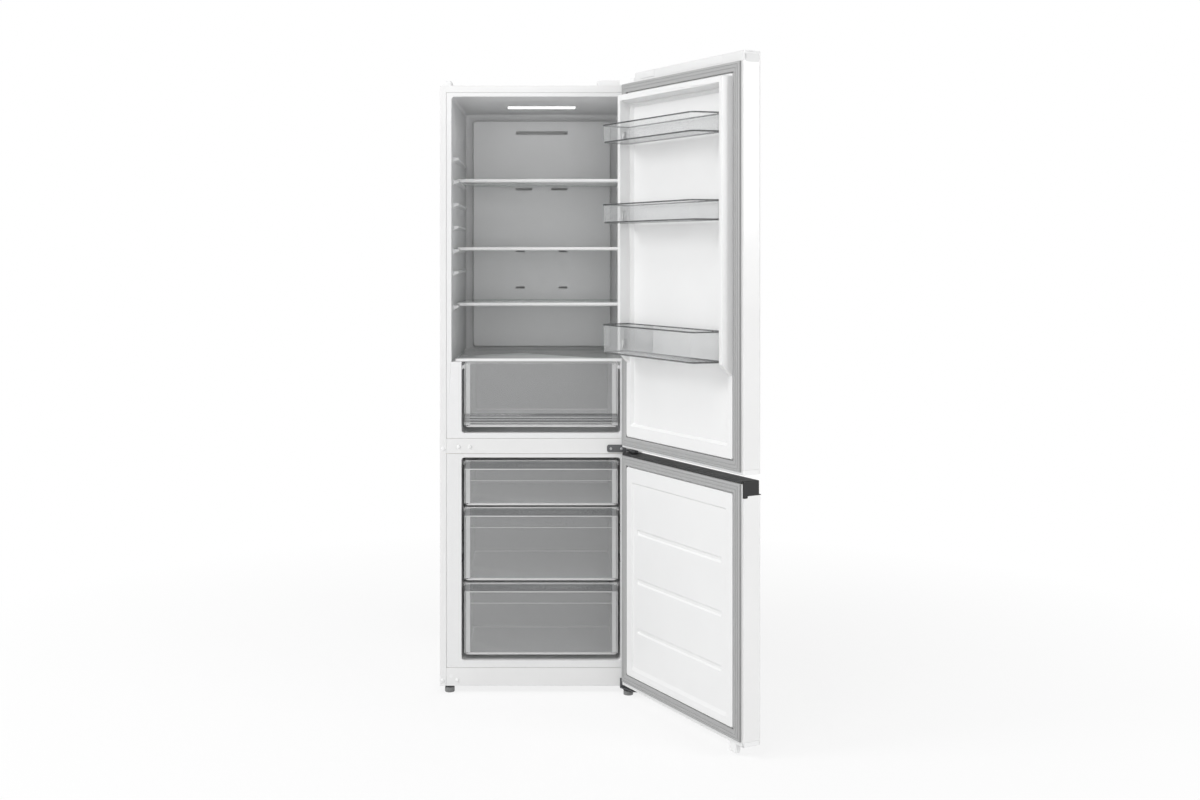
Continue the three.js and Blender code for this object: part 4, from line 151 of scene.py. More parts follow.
def studio_floor():
    """A round pale floor: its shade stays near the object, and fades to the surround's white."""
    corners, radius = 64, 9.0
    shaded_to, white_from, least_white = 0.7, 2.4, 0.8
    angle = np.linspace(0.0, 2.0 * np.pi, corners + 1)[:-1]
    rim = np.stack([radius * np.cos(angle), radius * np.sin(angle), np.zeros(corners)], 1)
    mesh = bpy.data.meshes.new("floor")
    mesh.from_pydata(rim.tolist(), [], [list(range(corners))])
    floor = bpy.data.objects.new("floor", mesh)
    bpy.context.scene.collection.objects.link(floor)
    material = bpy.data.materials.new("floor_white")
    material.use_nodes = True
    tree = material.node_tree
    tree.nodes.clear()
    out = tree.nodes.new("ShaderNodeOutputMaterial")
    matt = tree.nodes.new("ShaderNodeBsdfDiffuse")
    matt.inputs["Color"].default_value = (0.86, 0.86, 0.86, 1.0)
    glow = tree.nodes.new("ShaderNodeEmission")
    glow.inputs["Strength"].default_value = 1.0
    place = tree.nodes.new("ShaderNodeTexCoord")
    away = tree.nodes.new("ShaderNodeVectorMath")
    away.operation = "LENGTH"
    fade = tree.nodes.new("ShaderNodeMapRange")
    fade.inputs["From Min"].default_value = shaded_to
    fade.inputs["From Max"].default_value = white_from
    fade.inputs["To Min"].default_value = least_white
    fade.inputs["To Max"].default_value = 1.0
    path = tree.nodes.new("ShaderNodeLightPath")
    first = tree.nodes.new("ShaderNodeMath")
    first.operation = "MAXIMUM"
    second = tree.nodes.new("ShaderNodeMath")
    second.operation = "MAXIMUM"
    share = tree.nodes.new("ShaderNodeMath")
    share.operation = "MULTIPLY"
    mix = tree.nodes.new("ShaderNodeMixShader")
    link = tree.links.new
    link(place.outputs["Object"], away.inputs[0])
    link(away.outputs["Value"], fade.inputs["Value"])
    link(path.outputs["Is Camera Ray"], first.inputs[0])
    link(path.outputs["Is Glossy Ray"], first.inputs[1])
    link(first.outputs[0], second.inputs[0])
    link(path.outputs["Is Transmission Ray"], second.inputs[1])
    link(second.outputs[0], share.inputs[0])
    link(fade.outputs["Result"], share.inputs[1])
    link(share.outputs[0], mix.inputs[0])
    link(matt.outputs[0], mix.inputs[1])
    link(glow.outputs[0], mix.inputs[2])
    link(mix.outputs[0], out.inputs["Surface"])
    floor.data.materials.append(material)


photograph_camera()
studio_world(0.44)
studio_floor()
softbox("key_softbox", (-1.7, -3.6, 5.0), (0.0, 0.0, 0.9), 2.4, 1.6, watts=66.0)
softbox("left_softbox", (-4.2, -1.6, 3.6), (0.2, -0.3, 0.9), 1.8, 1.6, watts=120.0)
softbox("front_softbox", (0.2, -5.6, 1.5), (0.0, 0.0, 0.9), 2.4, 2.0, watts=26.0)
softbox("fill_softbox", (4.3, -2.6, 2.4), (0.1, -0.2, 0.9), 1.8, 2.0, watts=84.0)


# ------------------------------------------------------------------ finishes
def finish(name, colour, roughness, grain=420.0, relief=0.04, mottle=0.02, metallic=0.0, coat=0.0,
           face=1.0, rim=1.0, glow=0.0):
    """A surface whose tone drifts a little over a hand's breadth and whose fine grain shows as relief.

    tone = colour x (1 - mottle + 2 mottle noise(7/m)), relief = noise(grain/m). A clear plastic or
    glass lets light through: its cover is face where it is seen square on, and rises with the square
    of the slant to rim where it is seen along the surface.
    """
    material = bpy.data.materials.new(name)
    material.use_nodes = True
    tree = material.node_tree
    link = tree.links.new
    shader = tree.nodes["Principled BSDF"]
    shader.inputs["Metallic"].default_value = metallic
    shader.inputs["Coat Weight"].default_value = coat
    shader.inputs["Coat Roughness"].default_value = 0.12
    place = tree.nodes.new("ShaderNodeTexCoord")
    broad = tree.nodes.new("ShaderNodeTexNoise")
    broad.inputs["Scale"].default_value = 7.0
    broad.inputs["Detail"].default_value = 3.0
    tone = tree.nodes.new("ShaderNodeMix")
    tone.data_type = "RGBA"
    tone.inputs["A"].default_value = tuple(c * (1.0 - mottle) for c in colour) + (1.0,)
    tone.inputs["B"].default_value = tuple(min(c * (1.0 + mottle), 1.0) for c in colour) + (1.0,)
    fine = tree.nodes.new("ShaderNodeTexNoise")
    fine.inputs["Scale"].default_value = grain
    fine.inputs["Detail"].default_value = 2.0
    gloss = tree.nodes.new("ShaderNodeMapRange")
    gloss.inputs["To Min"].default_value = roughness * 0.88
    gloss.inputs["To Max"].default_value = roughness * 1.12
    bump = tree.nodes.new("ShaderNodeBump")
    bump.inputs["Strength"].default_value = relief
    bump.inputs["Distance"].default_value = 0.0004
    link(place.outputs["Object"], broad.inputs["Vector"])
    link(place.outputs["Object"], fine.inputs["Vector"])
    link(broad.outputs["Fac"], tone.inputs["Factor"])
    link(tone.outputs["Result"], shader.inputs["Base Color"])
    link(broad.outputs["Fac"], gloss.inputs["Value"])
    link(gloss.outputs["Result"], shader.inputs["Roughness"])
    link(fine.outputs["Fac"], bump.inputs["Height"])
    link(bump.outputs["Normal"], shader.inputs["Normal"])
    if rim < 1.0 or face < 1.0:
        slant = tree.nodes.new("ShaderNodeLayerWeight")
        slant.inputs["Blend"].default_value = 0.5
        square = tree.nodes.new("ShaderNodeMath")
        square.operation = "POWER"
        square.inputs[1].default_value = 2.0
        cover = tree.nodes.new("ShaderNodeMapRange")
        cover.inputs["To Min"].default_value = face
        cover.inputs["To Max"].default_value = rim
        link(slant.outputs["Facing"], square.inputs[0])
        link(square.outputs[0], cover.inputs["Value"])
        link(cover.outputs["Result"], shader.inputs["Alpha"])
    if glow > 0.0:
        shader.inputs["Emission Color"].default_value = (1.0, 1.0, 1.0, 1.0)
        shader.inputs["Emission Strength"].default_value = glow
    return material


FINISH = {
    "steel_white": finish("steel_white_paint", (0.825, 0.825, 0.823), 0.3, grain=900.0, relief=0.05,
                          coat=0.25),
    "zinc_plate": finish("zinc_plate", (0.55, 0.56, 0.57), 0.42, grain=160.0, relief=0.1, mottle=0.12,
                         metallic=0.9),
    "foam": finish("foam_cream", (0.78, 0.68, 0.42), 0.9, grain=700.0, relief=0.6, mottle=0.08),
    "liner_grey": finish("cabinet_liner_plastic", (0.84, 0.842, 0.845), 0.34, grain=1100.0),
    "liner_white": finish("door_liner_plastic", (0.812, 0.814, 0.814), 0.34, grain=1100.0),
    "gasket_grey": finish("gasket_vinyl", (0.395, 0.397, 0.397), 0.6, grain=1500.0, relief=0.1),
    "lamp_white": finish("lamp_diffuser", (0.9, 0.905, 0.905), 0.25, grain=1300.0, glow=1.1),
    "shelf_glass": finish("shelf_glass", (0.95, 0.975, 0.968), 0.05, relief=0.0, face=0.14, rim=0.9),
    "trim_white": finish("trim_plastic", (0.86, 0.862, 0.862), 0.32, grain=1300.0),
    "drawer_frost": finish("drawer_frosted_tray", (0.88, 0.886, 0.89), 0.22, relief=0.0, face=0.2),
    "bin_smoke": finish("bin_clear", (0.6, 0.61, 0.615), 0.1, relief=0.0, face=0.07, rim=0.6),
    "grip_dark": finish("grip_plastic", (0.035, 0.035, 0.036), 0.42, grain=2200.0, relief=0.16),
    "hinge_dark": finish("hinge_steel", (0.12, 0.122, 0.126), 0.36, grain=500.0, metallic=0.6),
    "machine_black": finish("machine_paint", (0.02, 0.02, 0.021), 0.4, grain=600.0, relief=0.2),
    "fin_aluminium": finish("fin_aluminium", (0.7, 0.71, 0.72), 0.3, grain=300.0, metallic=1.0),
    "foot_grey": finish("foot_plastic", (0.2, 0.203, 0.203), 0.5, grain=1200.0, relief=0.15),
    "roller_black": finish("roller_plastic", (0.03, 0.03, 0.032), 0.45, grain=1200.0, relief=0.15),
}
FRONT_CLEAR = finish("drawer_clear_front", (0.8, 0.81, 0.815), 0.1, relief=0.0, face=0.06, rim=0.7)
FROST_POST = finish("drawer_frosted_post", (0.88, 0.884, 0.886), 0.25, relief=0.0, face=0.72, rim=0.95)
# painted shade: a darker grey for the shallow recess at the top cap's end
CAP_END_PAINTED_SHADE = finish("cap_end_painted_shade", (0.66, 0.662, 0.662), 0.4, grain=1300.0)
# painted shade: dark lines for the rims and bends of the clear drawers and bins
PAINTED_SHADE_EDGE = finish("clear_plastic_painted_shade_edge", (0.07, 0.073, 0.075), 0.2, grain=1500.0, face=0.84,
                   rim=0.97)
# painted highlight: bright lines for the rims, lip bends and corner posts of the clear drawers
PAINTED_HIGHLIGHT_EDGE = finish("clear_plastic_painted_highlight_edge", (0.9, 0.9, 0.9), 0.15, grain=1500.0, face=0.7, rim=0.95)
SMOKE_BAND = finish("smoked_grip_band", (0.2, 0.205, 0.21), 0.16, grain=1500.0, face=0.5, rim=0.9)
GLASS_EDGE = finish("ground_glass_edge", (0.3, 0.42, 0.38), 0.3, grain=1500.0, face=0.7, rim=0.95)
# painted shade: a dark grey for the folds of the door gaskets
GASKET_FOLD_PAINTED_SHADE = finish("gasket_fold_painted_shade", (0.24, 0.242, 0.242), 0.7, grain=1500.0, relief=0.1)
# painted highlight: a brighter liner white for the up-facing slopes of the door liners' grooves and
# pocket edges
GROOVE_PAINTED_HIGHLIGHT = finish("liner_groove_painted_highlight", (0.875, 0.877, 0.877), 0.3, grain=1100.0)
CAP_WHITE = finish("door_cap_plastic", (0.76, 0.762, 0.762), 0.4, grain=1300.0)
GRIP_END = finish("grip_end_plastic", (0.018, 0.018, 0.019), 0.6, grain=2200.0, relief=0.16)
SCREW = finish("bright_screw", (0.5, 0.5, 0.51), 0.3, grain=800.0, metallic=0.9)
# painted shade: near-black for the freezer's wall slots
SLOT_PAINTED_SHADE = finish("slot_shadow", (0.03, 0.03, 0.031), 0.8, grain=900.0, relief=0.1)

SLOT_OF = {entry["node"]: entry["material_slot"] for entry in frame["record"]["subparts"]}
for node_name, slot_name in SLOT_OF.items():
    NODES[node_name].data.materials.clear()
    NODES[node_name].data.materials.append(FINISH[slot_name])


# ------------------------------------------------------------------ surfaces
def outline(corners, radii, steps=5):
    """A polygon with its corners rounded, every corner giving steps + 1 points of its arc.

    Between the directions d and e of its two sides, which differ by the turn t, the arc starts
    r tan(t/2) before the corner and turns by s t for s from 0 to 1.
    """
    corners = np.asarray(corners, float)
    radii = np.broadcast_to(np.maximum(np.asarray(radii, float), 1e-3), len(corners))
    d = corners - np.roll(corners, 1, 0)
    d /= np.linalg.norm(d, axis=1, keepdims=True)
    e = np.roll(d, -1, 0)
    turn = np.arctan2(d[:, 0] * e[:, 1] - d[:, 1] * e[:, 0], (d * e).sum(1))
    start = corners - d * (radii * np.tan(np.abs(turn) / 2.0))[:, None]
    across = np.stack([-d[:, 1], d[:, 0]], 1) * (np.sign(turn) * radii)[:, None]
    angle = turn[:, None] * np.linspace(0.0, 1.0, steps + 1)[None, :]
    c, s = np.cos(angle), np.sin(angle)
    x = (start + across)[:, None, 0] - (across[:, None, 0] * c - across[:, None, 1] * s)
    y = (start + across)[:, None, 1] - (across[:, None, 0] * s + across[:, None, 1] * c)
    return np.stack([x, y], -1).reshape(-1, 2)


def box_outline(a0, a1, b0, b1, radius, steps=5):
    """A rounded rectangle, counterclockwise."""
    return outline([(a1, b1), (a0, b1), (a0, b0), (a1, b0)], radius, steps)


def placed(ring, axis, level):
    """An outline set in space at a level of one axis: its numbers go to the other two, in order."""
    return np.insert(ring, axis, level, axis=1)


def lofted(rings, closed=False, marks=0, cap=0):
    """A skin through rings of equally many points: point (i, j) is place j of ring i.

    marks gives the finish of each span between two rings, or one for all of them, and cap the ends'.
    """
    rings = np.asarray(rings, float)
    count, size = rings.shape[:2]
    i = np.arange(count if closed else count - 1)[:, None]
    j = np.arange(size)[None, :]
    after = ((i + 1) % count) * size
    quads = np.stack([i * size + j, i * size + (j + 1) % size, after + (j + 1) % size, after + j], -1)
    marks = np.repeat(np.broadcast_to(marks, len(i)), size)
    ends = [] if closed else [list(range(size))[::-1], list(range((count - 1) * size, count * size))]
    return rings.reshape(-1, 3), quads.reshape(-1, 4), ends, np.r_[marks, [cap] * len(ends)]


def turned(profile, centre, steps, axis=2, wave=0.0, waves=0):
    """A profile of (radius, height) turned about an axis; its radius may wave round the turn.

    point = radius (1 + wave cos(waves a)) (cos a, sin a) at its height, for a from 0 to 2 pi.
    """
    angle = np.linspace(0.0, 2.0 * np.pi, steps + 1)[:-1]
    swell = 1.0 + wave * np.cos(waves * angle)
    circle = np.stack([swell * np.cos(angle), swell * np.sin(angle)], 1)
    return lofted([placed(radius * circle, axis, height) + np.asarray(centre)
                   for radius, height in profile])


def swung(points, angle):
    """Points turned about the hinge axis: SWING opens a closed door and -SWING closes an open one."""
    c, s = math.cos(angle), math.sin(angle)
    out = points.copy()
    out[:, :2] = (points[:, :2] - HINGE) @ np.array([[c, s], [-s, c]]) + HINGE
    return out


def edge_turns(mesh, sharp):
    """For each edge: the angle its two faces make, and the room beside it for a rounding.

    The room is the narrower face's area over the edge's length, or the distance from the edge's
    middle to the nearest sharp edge that doesn't meet it, whichever is less.
    """
    edge = np.empty(len(mesh.loops), int)
    total = np.empty(len(mesh.polygons), int)
    normal = np.empty(len(mesh.polygons) * 3)
    area = np.empty(len(mesh.polygons))
    ends = np.empty(len(mesh.edges) * 2, int)
    place = np.empty(len(mesh.vertices) * 3)
    mesh.loops.foreach_get("edge_index", edge)
    mesh.polygons.foreach_get("loop_total", total)
    mesh.polygons.foreach_get("normal", normal)
    mesh.polygons.foreach_get("area", area)
    mesh.edges.foreach_get("vertices", ends)
    mesh.vertices.foreach_get("co", place)
    ends, place = ends.reshape(-1, 2), place.reshape(-1, 3)
    face = np.repeat(np.arange(len(total)), total)
    order = np.argsort(edge, kind="stable")
    edge, face = edge[order], face[order]
    first = np.flatnonzero(np.r_[True, edge[1:] != edge[:-1]])
    pair = first[np.r_[np.diff(first), len(edge) - first[-1]] == 2]
    a, b, mine = face[pair], face[pair + 1], edge[pair]
    normal = normal.reshape(-1, 3)
    turn = np.zeros(len(mesh.edges))
    room = np.zeros(len(mesh.edges))
    length = np.linalg.norm(place[ends[:, 0]] - place[ends[:, 1]], axis=1)
    turn[mine] = np.degrees(np.arccos(np.clip((normal[a] * normal[b]).sum(1), -1.0, 1.0)))
    room[mine] = np.minimum(area[a], area[b]) / np.maximum(length[mine], 1e-6)
    keen = np.flatnonzero(turn > sharp)
    foot, along = place[ends[keen, 0]], place[ends[keen, 1]] - place[ends[keen, 0]]
    reach = (foot + 0.5 * along)[:, None] - foot[None]
    share = np.clip((reach * along[None]).sum(2) / np.maximum((along ** 2).sum(1), 1e-12), 0.0, 1.0)
    apart = np.linalg.norm(reach - share[..., None] * along[None], axis=2)
    meets = (ends[keen][:, None, :, None] == ends[keen][None, :, None, :]).any((2, 3))
    room[keen] = np.minimum(room[keen], np.where(meets, np.inf, apart).min(1, initial=np.inf))
    return turn, room


def dressed(name, mesh, body, finishes, replaced, sharp, rounding):
    """The mesh as a piece: smooth but for its sharp edges, its outer edges rounded, its finish set.

    An edge is rounded by as much as is asked or by a share of its room, whichever is less.
    """
    share_of_room, least_share, steps = 0.42, 0.08, 2
    mesh.polygons.foreach_set("use_smooth", np.ones(len(mesh.polygons), bool))
    mesh.set_sharp_from_angle(angle=math.radians(sharp))
    thing = bpy.data.objects.new(name, mesh)
    bpy.context.scene.collection.objects.link(thing)
    for material in finishes:
        mesh.materials.append(material)
    if rounding > 0.0:
        turn, room = edge_turns(mesh, sharp)
        share = np.clip(share_of_room * room / (rounding / 1000.0), 0.0, 1.0)
        share = np.where((turn > sharp) & (share >= least_share), share, 0.0)
        weight = mesh.attributes.new("bevel_weight_edge", "FLOAT", "EDGE")
        weight.data.foreach_set("value", share)
        bevel = thing.modifiers.new("rounding", "BEVEL")
        bevel.limit_method = "WEIGHT"
        bevel.width = rounding / 1000.0
        bevel.segments = steps
        bevel.use_clamp_overlap = False
        bevel.harden_normals = True
        even = thing.modifiers.new("even_shading", "WEIGHTED_NORMAL")
        even.keep_sharp = True
    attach(thing, body)
    if replaced:
        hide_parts(*replaced)


def piece(name, surfaces, body, slot, finishes=None, replaced=(), opened=False, sharp=38.0,
          rounding=0.0):
    """One piece from closed surfaces in millimetres; a door's are drawn closed and then opened out."""
    points, faces, marks, start = [], [], [], 0
    for place, quads, ends, kinds in surfaces:
        points.append(swung(place, SWING) if opened else place)
        faces += (quads + start).tolist() + [[corner + start for corner in end] for end in ends]
        marks.append(kinds)
        start += len(place)
    mesh = bpy.data.meshes.new(name)
    mesh.from_pydata(((np.concatenate(points) + SHIFT) / 1000.0).tolist(), [], faces)
    mesh.polygons.foreach_set("material_index", np.concatenate(marks).astype(np.int32))
    work = bmesh.new()
    work.from_mesh(mesh)
    bmesh.ops.remove_doubles(work, verts=work.verts, dist=MERGED_BELOW)
    bmesh.ops.recalc_face_normals(work, faces=work.faces)
    work.to_mesh(mesh)
    work.free()
    dressed(name, mesh, body, finishes or [FINISH[slot]], replaced, sharp, rounding)


def refined(node, rounding, finishes=None, reshaped=None, marked=None):
    """A finer copy of a CAD node: flat neighbours joined, curves smooth and edges rounded.

    reshaped moves its points, which it gets in millimetres in the cabinet's frame.
    marked picks the faces that take the second finish. It gets their middles, with the door closed,
    and how far each face looks up.
    """
    mesh = bpy.data.meshes.new(node + "_shape")
    work = bmesh.new()
    work.from_mesh(NODES[node].data)
    work.transform(NODES[node].matrix_world)
    bmesh.ops.remove_doubles(work, verts=work.verts, dist=MERGED_BELOW)
    if reshaped:
        work.to_mesh(mesh)
        place = np.empty(len(mesh.vertices) * 3)
        mesh.vertices.foreach_get("co", place)
        moved = reshaped(place.reshape(-1, 3) * 1000.0 - SHIFT)
        mesh.vertices.foreach_set("co", ((moved + SHIFT) / 1000.0).ravel())
        work.clear()
        work.from_mesh(mesh)
    bmesh.ops.dissolve_limit(work, angle_limit=math.radians(0.4), verts=work.verts, edges=work.edges)
    bmesh.ops.connect_verts_concave(work, faces=work.faces)
    work.to_mesh(mesh)
    work.free()
    mesh.materials.clear()
    slot = SLOT_OF[node]
    dressed(node + "_shape", mesh, body_of(NODES[node])[0], finishes or [FINISH[slot]], (node,),
            sharp=36.0, rounding=rounding)
    if marked:
        middle = np.empty(len(mesh.polygons) * 3)
        normal = np.empty(len(mesh.polygons) * 3)
        mesh.polygons.foreach_get("center", middle)
        mesh.polygons.foreach_get("normal", normal)
        second = marked(swung(middle.reshape(-1, 3) * 1000.0 - SHIFT, -SWING), normal[2::3])
        mesh.polygons.foreach_set("material_index", second.astype(np.int32))


# ------------------------------------------------------------------ finer copies of CAD nodes
def nearest_gap(values, levels):
    """How far each value is from the nearest of some levels."""
    return np.abs(values[:, None] - np.array(levels)).min(1)


def broad_grooves(points):
    """The lower door liner with a long slope below each groove and along the pocket's lower edge.

    Each face of a groove lies at a known depth. There, heights about the groove's middle are
    multiplied by one share above it and by another below it, and the face sinks by some depth.
    """
    mouth, floor, slack = (-5.2, -6.7), (-7.7, -9.2), 0.2
    faces = ((mouth[0], 1.0, 1.75, 0.0), (floor[0], 0.75, 1.25, 1.2),
             (mouth[1], 1.0, 1.6, 0.0), (floor[1], 0.8, 1.17, 1.2))
    moved = swung(points, -SWING)
    x, y, z = moved.T.copy()
    for level in GROOVE_LEVELS:
        rise = z - level
        near = (np.abs(rise) < 8.0) & (np.abs(x) < 212.0)
        for depth, above, below, sink in faces:
            on = near & (np.abs(y - depth) < slack)
            moved[on, 2] = level + rise[on] * np.where(rise[on] > 0.0, above, below)
            moved[on, 1] = y[on] - sink
    moved[(nearest_gap(y, mouth) < slack) & (z < 107.0), 2] += 7.0
    return swung(moved, SWING)


def foam_behind_grooves(points):
    """The lower door's foam cut 4 deeper about each groove, so that it stays behind the long slopes."""
    moved = swung(points, -SWING)
    x, y, z = moved.T.copy()
    behind = (nearest_gap(z, GROOVE_LEVELS) < 11.0) & (np.abs(x) < 218.0) & (y > -13.0)
    moved[behind, 1] -= 4.0
    return swung(moved, SWING)


def runners_set_back(points):
    """The freezer liner with the front ends of its runners moved 40 back, into the gap's shade."""
    moved = points.copy()
    front = 15.0
    across, depth = np.abs(points[:, 0]), points[:, 1]
    moved[(across > 219.0) & (across < 235.0) & (np.abs(depth - front) < 0.3), 1] += 40.0
    return moved


def painted_highlight_sills(middles, looks_up):
    """Painted highlight: the up-facing slopes of the lower door's grooves and of both pockets' lower
    edges, which take a brighter finish than the liner.
    """
    x, y, z = middles.T
    groove = nearest_gap(z, GROOVE_LEVELS) < 8.0
    lower_edge, upper_edge = (z > 88.0) & (z < 112.0), (z > 780.0) & (z < 850.0)
    on_slope = (looks_up > 0.25) & (y < -1.5) & (y > -9.5) & (np.abs(x) < 236.0)
    return (groove | lower_edge | upper_edge) & on_slope


for node, rounding in [
    ("cabinet_shell", 1.6), ("back_panel", 1.0), ("mullion_bar", 0.8), ("bottom_rail", 1.2),
    ("fridge_liner", 2.4), ("fridge_duct_panel", 1.2), ("crisper_cover_trim", 1.2), ("top_hinge", 0.8),
    ("top_hinge_cover", 1.6), ("hinge_blank_cover", 1.4), ("bottom_hinge", 0.9), ("base_pan", 0.8),
    ("compressor_cover", 0.6), ("drip_tray", 0.8), ("rear_roller_left", 1.0), ("rear_roller_right", 1.0),
    ("shelf_trim_1", 1.0), ("shelf_trim_2", 1.0), ("shelf_trim_3", 1.0), ("upper_door_skin", 1.8),
    ("upper_door_bottom_cap", 1.2), ("lower_door_skin", 1.8), ("lower_door_bottom_cap", 1.2),
    ("handle_profile", 1.0),
]:
    refined(node, rounding)
refined("freezer_liner", 2.4, reshaped=runners_set_back)
refined("lower_door_foam", 0.0, reshaped=foam_behind_grooves)
refined("upper_door_top_cap", 1.6, [CAP_WHITE])
for side in ("left", "right"):
    refined(f"handle_end_cap_{side}", 1.2, [GRIP_END])
# the up-facing slopes of both door liners take the second finish, a painted highlight
refined("upper_door_liner", 2.2, [FINISH["liner_white"], GROOVE_PAINTED_HIGHLIGHT], marked=painted_highlight_sills)
refined("lower_door_liner", 1.0, [FINISH["liner_white"], GROOVE_PAINTED_HIGHLIGHT], broad_grooves, painted_highlight_sills)


# ------------------------------------------------------------------ door gaskets
def gasket(node, body, bottom, top):
    """A magnetic gasket: its section goes round the door's four sides, mitred at the corners.

    A point of the section is how far it lies in from the outer edge and in front of the cabinet. The
    section has a foot in the liner's groove, a folded bellows and a flat magnet tube.
    """
    section = [(0.0, 7.9), (0.0, 5.4), (1.5, 5.0), (1.5, 4.2), (0.5, 3.4), (1.3, 2.2), (3.4, 1.1),
               (5.0, 0.7), (6.4, 0.7), (6.9, 1.9), (8.2, 1.9), (8.7, 0.5), (12.0, 0.42), (14.8, 0.42),
               (15.3, 1.7), (16.7, 1.7), (17.2, 0.42), (20.5, 0.42), (23.4, 0.5), (24.9, 1.2),
               (25.7, 2.6), (25.9, 4.2), (24.8, 5.2), (26.0, 6.0), (26.0, 7.9)]
    # the spans in the folds take the darker finish, painted shade
    folds, plain, painted_shade = {2, 3, 21, 22}, 0, 1
    half = 289.5
    rings = [placed(np.array([(a - half, bottom + a), (half - a, bottom + a),
                              (half - a, top - a), (a - half, top - a)]), 1, -out) for a, out in section]
    marks = [painted_shade if k in folds else plain for k in range(len(section))]
    piece(node + "_shape", [lofted(rings, closed=True, marks=marks)], body, "gasket_grey",
          [FINISH["gasket_grey"], GASKET_FOLD_PAINTED_SHADE], (node,), opened=True, sharp=44.0)


gasket("upper_door_gasket", "upper_door", 734.0, 1784.0)
gasket("lower_door_gasket", "lower_door", 45.0, 704.0)


# ------------------------------------------------------------------ drawers
DRAWER_FINISHES = [FINISH["drawer_frost"], PAINTED_SHADE_EDGE, PAINTED_HIGHLIGHT_EDGE, SMOKE_BAND, FRONT_CLEAR, FROST_POST]
FROST, PAINTED_SHADE_LINE, PAINTED_HIGHLIGHT_LINE, SMOKE, CLEAR, POST = range(6)
DRAWER_FRONT = 10.0                            # y of a drawer's front
HALF_DRAWER = 225.5                            # half of a drawer's width at its front


def drawer(node, body, bottom, top, depth, bands):
    """A clear drawer: a tray with a rolled lip, and a front whose bands step in and out with height.

    The front is a thin rounded slab at each height z: half as wide as its corner arcs leave, from
    the band's own depth y to its flat back. Its rim below and above takes a bright finish, a painted
    highlight.
    """
    back = DRAWER_FRONT + depth

    def tray(half, y1, z, corner, y0=11.2):
        return placed(box_outline(-half, half, y0, y1, corner), 2, z)

    # the lip's bends take the bright finish, a painted highlight
    shell = lofted([
        tray(213.5, back - 9.0, bottom, 10.0), tray(216.4, back - 6.4, bottom + 1.6, 12.0),
        tray(217.6, back - 5.4, bottom + 5.0, 12.0), tray(219.6, back - 2.4, top - 7.0, 14.0),
        tray(223.6, back - 0.6, top - 7.0, 14.0), tray(224.5, back, top - 5.8, 14.0),
        tray(224.5, back, top - 1.2, 14.0), tray(223.8, back - 0.7, top, 14.0),
        tray(219.0, back - 3.6, top, 12.0, 12.9), tray(217.4, back - 4.4, top - 1.6, 11.6, 12.9),
        tray(217.2, back - 4.8, top - 9.4, 11.6, 12.9),
        tray(215.2, back - 7.8, bottom + 6.4, 10.0, 12.9),
        tray(213.8, back - 9.2, bottom + 3.4, 9.0, 12.9),
        tray(211.0, back - 12.0, bottom + 2.4, 7.0, 12.9),
    ], marks=[PAINTED_HIGHLIGHT_LINE if k in (1, 11, 12) else FROST for k in range(13)])

    levels = [(bottom + t, DRAWER_FRONT, PAINTED_HIGHLIGHT_LINE if t < 2.0 else CLEAR)
              for t in (0.0, 0.5, 1.4, 2.8, 4.6, 7.0, 10.0)]
    levels += bands
    levels += [(top - t, DRAWER_FRONT, PAINTED_HIGHLIGHT_LINE if t < 2.0 else CLEAR) for t in (4.0, 2.6, 1.4, 0.5, 0.0)]
    low_arc, high_arc = 10.0, 4.0
    rings = []
    for z, y, _ in levels:
        down, up = low_arc - min(z - bottom, low_arc), high_arc - min(top - z, high_arc)
        pull = low_arc - math.sqrt(low_arc ** 2 - down ** 2)
        pull += high_arc - math.sqrt(high_arc ** 2 - up ** 2)
        rings.append(placed(box_outline(pull - HALF_DRAWER, HALF_DRAWER - pull, y, 13.0, 1.0, 2), 2, z))
    front = lofted(rings, marks=[mark for _, _, mark in levels[:-1]])

    def post(x, half, y0, mark):
        return lofted([placed(box_outline(x - half, x + half, y0, 13.9, 0.7, 3), 2, z)
                       for z in (bottom + 5.0, top - 3.0)], marks=mark, cap=mark)

    # the thin outer post at each corner takes the bright finish, a painted highlight
    posts = [post(side * x, half, y0, mark) for side in (-1.0, 1.0)
             for x, half, y0, mark in ((224.6, 1.1, 9.0, PAINTED_HIGHLIGHT_LINE), (215.6, 6.6, 12.2, POST))]
    piece(node + "_shape", [shell, front, *posts], body, "drawer_frost", DRAWER_FINISHES, (node,),
          sharp=50.0)


def freezer_bands(top):
    """Bands of a freezer drawer's front, from below: a fine painted highlight line, then a smoked band
    for the grip.
    """
    return [(top - 60.4, 10.0, PAINTED_HIGHLIGHT_LINE), (top - 59.4, 9.2, CLEAR), (top - 27.4, 9.0, PAINTED_HIGHLIGHT_LINE),
            (top - 24.4, 6.6, SMOKE), (top - 15.0, 6.2, SMOKE), (top - 9.0, 8.6, SMOKE),
            (top - 5.0, 9.6, CLEAR)]


# the crisper's bands: the bright lines are painted highlights, the dark line at the top of the smoked
# grip is painted shade
drawer("crisper_drawer", "crisper_drawer_body", 780.5, 970.0, 440.0,
       [(793.0, 10.0, PAINTED_HIGHLIGHT_LINE), (794.2, 8.6, SMOKE), (801.0, 7.0, PAINTED_HIGHLIGHT_LINE), (802.2, 6.4, SMOKE),
        (809.0, 6.4, PAINTED_HIGHLIGHT_LINE), (810.2, 7.0, SMOKE), (818.0, 8.6, PAINTED_SHADE_LINE), (819.4, 10.0, CLEAR)])
for place, bottom, top, depth in (("bottom", 109.5, 320.5, 300.0), ("middle", 328.5, 543.5, 392.0),
                                  ("top", 549.7, 681.7, 392.0)):
    drawer(f"freezer_drawer_{place}", f"freezer_drawer_{place}_body", bottom, top, depth,
           freezer_bands(top))


